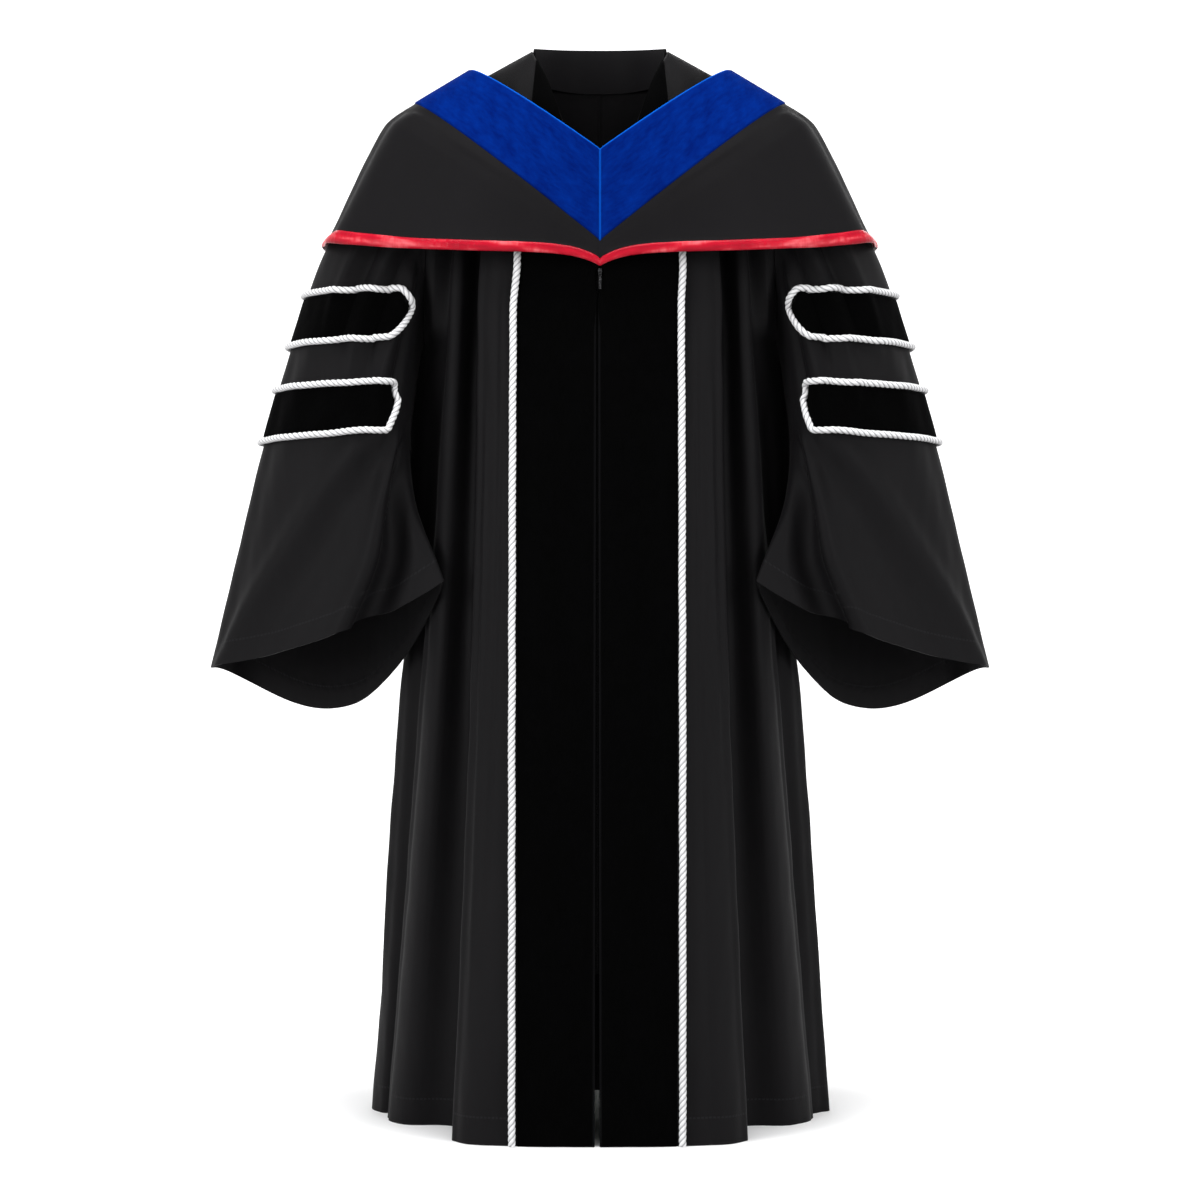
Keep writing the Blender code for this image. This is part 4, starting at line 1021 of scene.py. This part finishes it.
# Body of the gown
BODY_PLACES = spaced(-1.0, 14, -0.8, 36, 0.0, 84, 1.0)
FACING_LINES = np.concatenate((
    (0.0, 0.005, 0.012, 0.020, 0.030, 0.045, 0.07), np.linspace(0.11, VELVET_LINE - 0.06, 14),
    VELVET_LINE - np.array((0.035, 0.018, 0.007, 0.0))))


def seam_lines(first, last):
    """Line numbers from one seam to the next, closer together beside both."""
    close = np.array(SEAM_STEPS)
    between = np.linspace(first, last, round((last - first) * COLUMNS_A_LINE) + 1)
    between = between[(between > first + 1.4 * close[-1]) & (between < last - 1.4 * close[-1])]
    return np.concatenate(((first,), first + close, between, last - close[::-1], (last,)))


def body_skin(side, lines, seams=(False, False)):
    """Points, normals and metres across of a part of one half of the body, with its creases."""
    beyond = np.concatenate(((lines[0] - LOOK,), lines, (lines[-1] + LOOK,)))
    places, line_grid = grid(BODY_PLACES, beyond)
    points = body_form(places, line_grid)
    above = BODY_PLACES <= 0.0
    if lines[-1] == SIDE_LINE:
        points[above, -1] = 2.0 * points[above, -2] - points[above, -3]
    if lines[0] == SIDE_LINE + SEAM_STEP:
        points[above, 0] = 2.0 * points[above, 1] - points[above, 2]
    normal = grid_normals(points, BODY_MIDDLE)
    uncovered = smooth((places - COVERED_PLACE) / COVERED_REACH)
    by_arm = hump(line_grid - SIDE_LINE, BY_ARM_LINES) * (1.0 - smooth((places - BY_ARM_END) / BY_ARM_REACH))
    lift = creases(BODY_CREASES, side, places, line_grid, 1.0) * (1.0 - by_arm) + ripple(points, RIPPLE)
    lift = lift * uncovered * smooth(np.abs(line_grid) / EDGE_LINES)
    points = points + lift[..., None] * normal
    normal = grid_normals(points, BODY_MIDDLE)[:, 1:-1]
    points = points[:, 1:-1]
    across = lengths(points, 1)
    dent = np.zeros(across.shape)
    if seams[0]:
        dent += SEAM_DENT * hump(across, SEAM_REACH)
    if seams[1]:
        dent += SEAM_DENT * hump(across[:, -1:] - across, SEAM_REACH)
    return points - dent[..., None] * normal, normal, line_grid[:, 1:-1], across


def gown_panel(side, panel, first, last, seams, finish):
    """One front or back of the gown, with its hem turned up inside."""
    outer, normal, lines, across = body_skin(side, seam_lines(first, last), seams)
    along = outer[..., 2] - HEM_Z
    depth = SHELL * (1.0 + (along < GOWN_HEM))
    inner = outer - depth[..., None] * normal
    name = f"{panel}_{side_name(side)}"
    piece = wall(name + "_cloth", hang(outer, side, lines), hang(inner, side, lines),
                 np.stack((across, along), axis=-1), finish)
    return fit_out(piece, name)


def front_facing(side, finish):
    """Velvet facing from the zip to the cord, with a soft rolled edge by the zip."""
    points, normal, lines, across = body_skin(side, FACING_LINES)
    edge = np.minimum(across, across[:, -1:] - across)
    roll = EDGE_ROLL * hump(across - ROLL_PLACE, ROLL_REACH)
    outer = points + (SEAM_GAP + VELVET * rounded(edge) + roll)[..., None] * normal
    inner = points + SEAM_GAP * normal
    name = f"front_velvet_{side_name(side)}"
    piece = wall(name + "_facing", hang(outer, side, lines), hang(inner, side, lines),
                 np.stack((across, points[..., 2] - HEM_Z), axis=-1), finish)
    return fit_out(piece, name)


def front_cord(side, finish):
    """Twisted cord down one front, sewn along the outer edge of the velvet."""
    points, normal = [part[::-1, 1] for part in body_skin(side, CORD_LINE + np.array((-LOOK, 0.0, LOOK)))[:2]]
    heights = points[:, 2]
    spots = np.linspace(CORD_TOP_Z, heights[0], FRONT_CORD_SPOTS)
    points = read_points(spots, heights, points)
    normal = unit(read_points(spots, heights, normal))
    path = hang(points + (CORD_GAP + FRONT_CORD_RADIUS) * normal, side, np.full(len(spots), float(CORD_LINE)))
    name = f"front_cord_{side_name(side)}"
    piece = twisted_cord(name + "_twist", path, normal * mirrored(side), FRONT_CORD_RADIUS, finish)
    return fit_out(piece, name)


# Sleeves
def sleeve_skin(side):
    """Points and normals of a sleeve, with its creases, on the left side's place."""
    turns = 2.0 * math.pi * np.arange(SLEEVE_AROUND) / SLEEVE_AROUND
    places, turn_grid = grid(np.linspace(0.0, 1.0, SLEEVE_ALONG), turns)
    points = sleeve_form(places, turn_grid)
    degrees = np.degrees(turn_grid)
    normal = grid_normals(points, points.mean(axis=1, keepdims=True), closed=True)
    lift = creases(SLEEVE_CREASES, side, places, degrees, 1.0, 360.0)
    outer_side = hump((degrees + 180.0) % 360.0 - 180.0, OUTER_SIDE)
    outer_side = outer_side * (1.0 - smooth((places - OUTER_END) / OUTER_REACH))
    inner_side = hump(degrees - 180.0, INNER_SIDE) * (1.0 - smooth((places - INNER_END) / INNER_REACH))
    lift = lift * (1.0 - outer_side) * (1.0 - inner_side) * smooth(places * 12.0)
    lift += ripple(points, RIPPLE) * smooth((places - 0.35) * 6.0)
    points = points + lift[..., None] * normal
    return points, grid_normals(points, points.mean(axis=1, keepdims=True), closed=True)


def bell_sleeve(side, points, normal, finish):
    """One sleeve as an open tube, with its cuff turned up inside."""
    outer = points.copy()
    outer[0, :, 0] -= SLEEVE_TUCK
    along = lengths(outer, 0)
    along = along[-1:] - along
    depth = SHELL * (1.0 + (along < CUFF_HEM))
    inner = outer - depth[..., None] * normal
    closed = np.concatenate((outer, outer[:, :1]), axis=1)
    cloth_map = np.stack((lengths(closed, 1), np.concatenate((along, along[:, :1]), axis=1)), axis=-1)
    mirror = mirrored(side)
    name = f"sleeve_{side_name(side)}"
    piece = wall(name + "_bell", outer * mirror, inner * mirror, cloth_map, finish, closed=True)
    return fit_out(piece, name)


def on_sleeve(values, rows, columns):
    """Read a sleeve's grid between its rows and columns."""
    low_row = np.clip(np.floor(rows).astype(int), 0, values.shape[0] - 2)
    low_column = np.floor(columns).astype(int)
    down = (rows - low_row)[:, None]
    across = (columns - low_column)[:, None]
    here, after = low_column % SLEEVE_AROUND, (low_column + 1) % SLEEVE_AROUND
    first, second = [mix(values[row, here], values[row, after], across) for row in (low_row, low_row + 1)]
    return mix(first, second, down)


def rows_at(points, columns, heights):
    """Rows where columns of the sleeve come down to the given heights."""
    rows = np.empty(len(columns))
    steps = np.arange(len(points), dtype=float)
    for number, (column, height) in enumerate(zip(columns, heights)):
        low = math.floor(column)
        fall = -mix(points[:, low % SLEEVE_AROUND, 2], points[:, (low + 1) % SLEEVE_AROUND, 2], column - low)
        rows[number] = np.interp(-height, fall, steps)
    return rows


def bar_outline(bar, stations):
    """Top and low edge of a bar at stations counted from the sleeve's outer line."""
    reach = np.abs(stations)
    top = np.interp(reach, (0.0, bar.top_column, bar.point_column), (bar.top_out, bar.top_in, bar.point_z))
    low = np.interp(reach, (0.0, bar.low_column, bar.point_column), (bar.low_out, bar.low_in, bar.point_z))
    return top, low


def sleeve_bar(side, bar, points, normal, velvet, white):
    """One velvet bar round the outer side of a sleeve, with a twisted cord round it."""
    mirror = mirrored(side)
    name = f"{bar.name}_{side_name(side)}"
    stations = np.linspace(-bar.point_column, bar.point_column, BAR_STATIONS)
    columns = stations * SLEEVE_AROUND / SLEEVE_STEPS
    top, low = bar_outline(bar, stations)
    middle = on_sleeve(points, rows_at(points, columns, (top + low) / 2.0), columns)
    across = lengths(middle, 0)
    top_inset = BAR_INSET * np.sqrt(1.0 + np.gradient(top, across) ** 2)
    low_inset = BAR_INSET * np.sqrt(1.0 + np.gradient(low, across) ** 2)
    kept = top - top_inset > low + low_inset + BAR_THIN
    shares = 0.5 - 0.5 * np.cos(np.pi * np.linspace(0.0, 1.0, BAR_LAYERS))
    band = []
    away = []
    edge = []
    for share in shares:
        height = mix((top - top_inset)[kept], (low + low_inset)[kept], share)
        rows = rows_at(points, columns[kept], height)
        band.append(on_sleeve(points, rows, columns[kept]))
        away.append(unit(on_sleeve(normal, rows, columns[kept])))
        edge.append(min(share, 1.0 - share) * (top - low - top_inset - low_inset)[kept])
    band = np.array(band)
    away = np.array(away)
    across = across[kept]
    edge = np.minimum(np.array(edge), np.minimum(across - across[0], across[-1] - across))
    outer = band + (BAR_GAP + VELVET * rounded(edge))[..., None] * away
    cloth_map = np.stack((lengths(band, 1), lengths(band[::-1], 0)[::-1]), axis=-1)
    inner = band + SEAM_GAP * away
    velvet_piece = wall(f"bar_{name}_velvet", outer * mirror, inner * mirror, cloth_map, velvet)
    around = np.concatenate((columns, columns[-2:0:-1]))
    edge_heights = np.concatenate((top, low[-2:0:-1]))
    rows = rows_at(points, around, edge_heights)
    foot = on_sleeve(points, rows, around)
    upward = unit(on_sleeve(normal, rows, around))
    for _ in range(CORNER_SOFTENING):
        foot = (np.roll(foot, 1, axis=0) + 2.0 * foot + np.roll(foot, -1, axis=0)) / 4.0
    cord = twisted_cord(f"bar_cord_{name}_twist", (foot + (BAR_GAP + BAR_CORD_RADIUS) * upward) * mirror,
                        upward * mirror, BAR_CORD_RADIUS, white, closed=True)
    fit_out(velvet_piece, f"bar_{name}")
    fit_out(cord, f"bar_cord_{name}")
    return velvet_piece, cord


# Hood
def hood_half(side, finishes):
    """Velvet band, cape and satin trim of one half of the hood."""
    mirror = mirrored(side)
    quarter = math.pi / 2.0 * smooth(np.linspace(0.0, 1.0, HOOD_QUARTER))
    turns = np.concatenate((quarter, math.pi - quarter[-2::-1]))
    rows = spaced(0.0, 26, 1.0, 60, 3.0, 10, 4.0)
    places, turn_grid = grid(rows, turns)
    hood = hood_form(places, turn_grid)
    normal = grid_normals(hood, BODY_MIDDLE)
    normal[:, (0, -1), 0] = 0.0
    normal = unit(normal)
    lift = creases(HOOD_CREASES, side, places, np.degrees(turn_grid), 3.0)
    lift += ripple(hood, HOOD_RIPPLE) * smooth((places - 1.2) * 2.0)
    hood = hood + (lift * smooth(hood[..., 0] * 40.0))[..., None] * normal
    pieces = []
    for name, first, last, slot in (("hood_velvet", 0, VELVET_RING, "blue_velvet"),
                                    ("hood_cape", VELVET_RING, TRIM_RING, "hood_cloth"),
                                    ("hood_trim", TRIM_RING, HEM_RING, "red_satin")):
        inside = (rows >= first) & (rows <= last)
        skin = hood[inside].copy()
        away = normal[inside]
        along = lengths(skin, 0)
        across = lengths(skin, 1)
        edge = np.minimum(along, along[-1:] - along)
        if name == "hood_velvet":
            proud = VELVET_PROUD * rounded(edge, HOOD_VELVET_ROUND)
        elif name == "hood_trim":
            share = (rows[inside] - first)[:, None]
            pucker = np.sin(across * 260.0 + 1.7 * np.sin(across * 71.0 + side)) * np.sin(across * 97.0)
            proud = TRIM_PROUD * np.sqrt(np.sin(math.pi * np.clip(share, 0.0, 1.0)))
            proud = proud * (1.0 + PUCKER * pucker) + TRIM_LIFT
        else:
            proud = np.zeros(edge.shape)
        proud = proud - SEAM_DENT * hump(skin[..., 0], SEAM_REACH)
        outer = skin + proud[..., None] * away
        inner = skin - SHELL * away
        for points in (outer, inner):
            points[:, (0, -1), 0] = 0.0
        full = f"{name}_{side_name(side)}"
        cloth_map = np.stack((across, along), axis=-1)
        piece = wall(full + "_cloth", outer * mirror, inner * mirror, cloth_map, finishes[slot])
        pieces.append(fit_out(piece, full))
    return pieces


def stand_collar(finish):
    """Stand band round the back of the neck, with a rounded top edge."""
    shares = np.linspace(COLLAR_START, 1.0, COLLAR_STATIONS)
    half = np.array([back_neck(share) for share in shares])
    base = np.concatenate((half, half[-2::-1] * np.array((-1.0, 1.0, 1.0))))
    lean = (base[:, 1] / BACK_NECK_Y)[:, None]
    top = np.concatenate((COLLAR_LEAN * base[:, :1], COLLAR_TOP_Y * lean,
                          mix(NECK_Z + COLLAR_END, COLLAR_TOP_Z, lean)), axis=1)
    along = np.gradient(base, axis=0)
    outward = unit(np.column_stack((along[:, 1], -along[:, 0], np.zeros(len(base)))))
    foot = base - COLLAR_LAP * np.array((0.0, 0.0, 1.0))
    level = np.column_stack((base[:, :2], np.full(len(base), BACK_NECK_Z)))
    rings = np.stack([mix(foot if out > -0.5 else level, top, up) + COLLAR * out * outward
                      for up, out in COLLAR_PROFILE], axis=1)
    cloth_map = np.empty((len(base), len(COLLAR_PROFILE) + 1, 2))
    cloth_map[..., 0] = lengths(base, 0)[:, None]
    upward = np.array([up for up, _ in COLLAR_PROFILE] + [0.0])
    cloth_map[..., 1] = upward * COLLAR_MAP_TALL + COLLAR_MAP_START
    piece = swept("collar_band_cloth", rings, cloth_map, finish, sharp=50.0)
    return fit_out(piece, "collar_band")


# Zip
def zip_line(places):
    """Middle of the zip's front face at places of the body."""
    rows, lines = grid(places, np.zeros(1))
    line = body_form(rows, lines)[:, 0]
    line[:, 1] += CLOTH + TAPE_GAP
    line[:, 0] = SWAY * smooth((LENS_TOP_Z - line[:, 2]) / SWAY_REACH)
    return line


def woven_tape(finish):
    """Tape of the zip behind both front edges."""
    line = zip_line(np.linspace(TAPE_TOP, TAPE_END, 120))
    across = np.array((-1.0, -0.5, 0.0, 0.5, 1.0)) * TAPE_HALF
    outer = line[:, None] + np.stack((across, np.zeros(5), np.zeros(5)), axis=1)[None]
    inner = outer + np.array((0.0, TAPE, 0.0))
    cloth_map = np.stack(np.broadcast_arrays(across[None, :], line[:, 2:]), axis=-1)
    piece = wall("zip_tape_weave", outer, inner, cloth_map, finish)
    return fit_out(piece, "zip_tape")


def deselect():
    bpy.ops.object.select_all(action="DESELECT")


def settle():
    """Put the active piece's place, turn and size into its mesh."""
    bpy.ops.object.transform_apply(location=True, rotation=True, scale=True)


def soften(piece, width, segments=2):
    """Round the edges of a hard piece a little."""
    bevel = piece.modifiers.new("soften", "BEVEL")
    bevel.width = width
    bevel.segments = segments
    bevel.limit_method = "ANGLE"
    bpy.ops.object.modifier_apply(modifier=bevel.name)
    bpy.ops.object.shade_smooth_by_angle(angle=SMOOTH_ANGLE)


def new_block(name, place, size, finish):
    """A block at its size and place, selected, as a start for a hard piece."""
    deselect()
    bpy.ops.mesh.primitive_cube_add(size=1.0, location=place)
    piece = bpy.context.object
    piece.name = name
    piece.scale = size
    settle()
    piece.data.materials.append(finish)
    return piece


def select_faces(piece, test):
    """In edit mode, select the faces whose middle and normal pass a test."""
    bpy.ops.object.mode_set(mode="OBJECT")
    for face in piece.data.polygons:
        face.select = bool(test(face.center, face.normal))
    bpy.ops.object.mode_set(mode="EDIT")


def cut_across(place):
    """In edit mode, cut the whole piece level through a place."""
    bpy.ops.mesh.select_all(action="SELECT")
    bpy.ops.mesh.bisect(plane_co=place, plane_no=(0.0, 0.0, 1.0))


def edit_faces():
    """Go into edit mode, to work on faces."""
    bpy.ops.object.mode_set(mode="EDIT")
    bpy.ops.mesh.select_mode(type="FACE")


def take_up(piece):
    """Select one piece alone."""
    deselect()
    piece.select_set(True)
    bpy.context.view_layer.objects.active = piece


def zip_slider(back, finish):
    """Slider with a waist, a sunk front face and the small bridge that the pull tab hangs on."""
    face = back - SLIDER_DEEP
    middle = (back + face) / 2.0
    size = (2.0 * SLIDER_HALF, SLIDER_DEEP, SLIDER_TALL)
    slider = new_block("zip_slider_body", (0.0, middle, SLIDER_Z), size, finish)
    edit_faces()
    cut_across((0.0, middle, SLIDER_Z))
    cut_across((0.0, middle, SLIDER_Z - SLIDER_TALL * SLIDER_WAIST_DOWN))
    select_faces(slider, lambda spot, normal: normal.z < -0.9)
    bpy.ops.transform.resize(value=(SLIDER_WAIST, 1.0, 1.0), center_override=(0.0, middle, SLIDER_Z))
    select_faces(slider, lambda spot, normal: normal.y < -0.9)
    bpy.ops.mesh.inset(thickness=INSET, depth=-0.0003)
    bpy.ops.object.mode_set(mode="OBJECT")
    soften(slider, 0.0005, 3)
    deselect()
    bpy.ops.mesh.primitive_torus_add(
        location=(0.0, face - BRIDGE_WINDOW, PULL_Z), rotation=(0.0, math.pi / 2.0, 0.0),
        major_radius=BRIDGE_RADIUS, minor_radius=BRIDGE_WIRE, major_segments=28, minor_segments=10)
    bridge = bpy.context.object
    settle()
    bridge.data.materials.append(finish)
    bpy.ops.object.shade_smooth_by_angle(angle=SMOOTH_ANGLE)
    slider.select_set(True)
    bpy.context.view_layer.objects.active = slider
    bpy.ops.object.join()
    return fit_out(slider, "zip_slider")


def pull_tab(pivot_y, finish):
    """Slim pull tab with an eye at its top and a thinned grip."""
    middle = PULL_Z - PULL_LONG / 2.0 + PULL_TOP / 2.0
    size = (2.0 * PULL_HALF, PULL_THICK, PULL_LONG + PULL_TOP)
    tab = new_block("zip_pull_tab", (0.0, pivot_y, middle), size, finish)
    edit_faces()
    cut_across((0.0, pivot_y, PULL_Z + GRIP_Z))
    select_faces(tab, lambda spot, normal: abs(normal.y) > 0.9 and spot.z < PULL_Z + GRIP_START_Z)
    bpy.ops.mesh.inset(thickness=INSET, depth=-0.0002)
    bpy.ops.object.mode_set(mode="OBJECT")
    deselect()
    bpy.ops.mesh.primitive_cylinder_add(
        vertices=24, radius=PULL_EYE, depth=0.01, rotation=(math.pi / 2.0, 0.0, 0.0),
        location=(0.0, pivot_y, PULL_Z - PULL_EYE_DOWN))
    eye = bpy.context.object
    eye.scale = (1.0, PULL_EYE_TALL / PULL_EYE, 1.0)
    settle()
    cut = tab.modifiers.new("eye", "BOOLEAN")
    cut.operation = "DIFFERENCE"
    cut.object = eye
    take_up(tab)
    bpy.ops.object.modifier_apply(modifier=cut.name)
    bpy.data.objects.remove(eye)
    soften(tab, 0.0002, 2)
    return fit_out(tab, "zip_pull", "pull_tab")


def zip_teeth(finish):
    """Interlocked teeth down the tape, one tooth modelled and repeated at its pitch."""
    tooth = new_block("zip_tooth", (0.0, 0.0, 0.0), TOOTH, finish)
    soften(tooth, 0.0003, 1)
    points = np.array([corner.co for corner in tooth.data.vertices])
    faces = [list(face.vertices) for face in tooth.data.polygons]
    line = zip_line(np.linspace(-0.35, TAPE_END, 200))
    start = SLIDER_Z - SLIDER_TALL / 2.0 - TOOTH_PITCH / 2.0
    heights = np.arange(start, line[-1, 2] + TEETH_END, -TOOTH_PITCH)
    x, y = [np.interp(-heights, -line[:, 2], line[:, axis]) for axis in (0, 1)]
    places = np.stack((x, y, heights), axis=1)
    places[:, 1] -= TOOTH_OUT
    places[:, 0] += TOOTH_ASIDE * (-1.0) ** np.arange(len(places))
    mesh = bpy.data.meshes.new("zip_teeth_row")
    row_faces = [[corner + number * len(points) for corner in face]
                 for number in range(len(places)) for face in faces]
    mesh.from_pydata((places[:, None] + points[None]).reshape(-1, 3).tolist(), [], row_faces)
    mesh.materials.append(finish)
    row = bpy.data.objects.new("zip_teeth_row", mesh)
    bpy.context.scene.collection.objects.link(row)
    bpy.data.objects.remove(tooth)
    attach(row, "gown")
    return row


def make_gown():
    """All the pieces of the gown and its hood."""
    robe = robe_cloth("gown_charcoal_cloth", ROBE_DARK, ROBE_LIGHT, GOWN_HEM)
    sleeve_cloth = robe_cloth("sleeve_charcoal_cloth", ROBE_DARK, ROBE_LIGHT, CUFF_HEM)
    cape_cloth = robe_cloth("hood_charcoal_cloth", CAPE_DARK, CAPE_LIGHT, NO_HEM)
    velvet = velvet_cloth("facing_black_velvet", shade(0.0001, 0.0001, 0.0001), shade(0.0006, 0.0006, 0.0007),
                          0.7, 0.003, shade(0.6, 0.6, 0.65))
    white = cord_finish()
    metal = metal_finish()
    hood_finishes = {"blue_velvet": hood_velvet_cloth(), "hood_cloth": cape_cloth, "red_satin": trim_satin()}
    collar = stand_collar(cape_cloth)
    tape = woven_tape(tape_finish())
    zip_teeth(coil_finish())
    line = zip_line(np.array((TAPE_TOP,)))[0]
    back = line[1] - SEAM_GAP
    zip_slider(back, metal)
    pull_tab(back - SLIDER_DEEP - BRIDGE_WINDOW, metal)
    for side in (1, -1):
        front = gown_panel(side, "gown_front", 0.0, float(SIDE_LINE), (False, True), robe)
        back_panel = gown_panel(side, "gown_back", SIDE_LINE + SEAM_STEP, float(BACK_LINE),
                                (True, True), robe)
        cord = front_cord(side, white)
        facing = front_facing(side, velvet)
        points, normal = sleeve_skin(side)
        bell = bell_sleeve(side, points, normal, sleeve_cloth)
        bars = [sleeve_bar(side, bar, points, normal, velvet, white) for bar in SLEEVE_BARS]
        pieces = hood_half(side, hood_finishes)


# Studio
def pale_round(name, profile, glow, around=96):
    """A round part of the stage, made by turning a profile of reach and height round the middle."""
    turns = np.linspace(0.0, 2.0 * math.pi, around, endpoint=False)
    points = [(reach * math.cos(turn), reach * math.sin(turn), HEM_Z + up)
              for reach, up in profile for turn in turns]
    faces = [(row + column, row + around + column, row + around + (column + 1) % around,
              row + (column + 1) % around)
             for row in range(0, around * (len(profile) - 1), around) for column in range(around)]
    if profile[0][1] == 0.0 and profile[0][0] < 1.0:
        faces.append(tuple(range(around)))
    mesh = bpy.data.meshes.new(name)
    mesh.from_pydata(points, [], faces)
    mesh.shade_smooth()
    paper = Finish(name + "_paper", Roughness=0.9, Specular_IOR_Level=0.1)
    tone = paper.cloudy(paper.point(*paper.place()), 3.0, 3.0)
    paper.colour(paper.blend(tone, shade(0.90, 0.90, 0.905), shade(0.93, 0.93, 0.935)))
    if glow:
        x, y = paper.place()[:2]
        reach = paper.spread(x * x + y * y, UNLIT_REACH ** 2, LIT_REACH ** 2)
        light = paper.blend(reach, shade(0.0, 0.0, 0.0), shade(1.0, 1.0, 1.0))
        paper.join(paper.shader.inputs["Emission Color"], light)
        paper.join(paper.shader.inputs["Emission Strength"], glow)
    mesh.materials.append(paper.material)
    stage = bpy.data.objects.new(name, mesh)
    bpy.context.scene.collection.objects.link(stage)
    return stage


def studio():
    """Plain pale floor and sweep, soft lights and the camera."""
    floor = pale_round("pale_floor", ((0.5, 0.0), (FLOOR_REACH, 0.0)), FLOOR_GLOW)
    bend = [(SWEEP_REACH - SWEEP_BEND * (1.0 - math.sin(turn)), SWEEP_BEND * (1.0 - math.cos(turn)))
            for turn in np.linspace(0.0, math.pi / 2.0, 14)]
    sweep = pale_round("pale_sweep", [(FLOOR_REACH, 0.0)] + bend + [(SWEEP_REACH, SWEEP_TALL)], SWEEP_GLOW)
    sweep.visible_shadow = False
    for stage in (floor, sweep):
        stage.visible_diffuse = False
    world = bpy.data.worlds.new("studio")
    world.use_nodes = True
    world.node_tree.nodes["Background"].inputs["Color"].default_value = shade(1.0, 1.0, 1.0)
    world.node_tree.nodes["Background"].inputs["Strength"].default_value = WORLD_LIGHT
    bpy.context.scene.world = world
    bpy.context.scene.view_settings.view_transform = "Standard"
    for name, place, aim, size, power in STUDIO_LIGHTS:
        lamp = bpy.data.lights.new(name, "AREA")
        lamp.shape = "RECTANGLE"
        lamp.size, lamp.size_y = size
        lamp.energy = power
        holder = bpy.data.objects.new(name, lamp)
        holder.location = place
        holder.rotation_euler = (Vector(aim) - Vector(place)).to_track_quat("-Z", "Y").to_euler()
        bpy.context.scene.collection.objects.link(holder)
    camera = bpy.data.cameras.new("camera")
    camera.lens = CAMERA_LENS
    camera.sensor_width = CAMERA_SENSOR
    holder = bpy.data.objects.new("camera", camera)
    holder.location = CAMERA_PLACE
    holder.rotation_euler = (math.pi / 2.0, 0.0, 0.0)
    bpy.context.scene.collection.objects.link(holder)
    bpy.context.scene.camera = holder


studio()
make_gown()
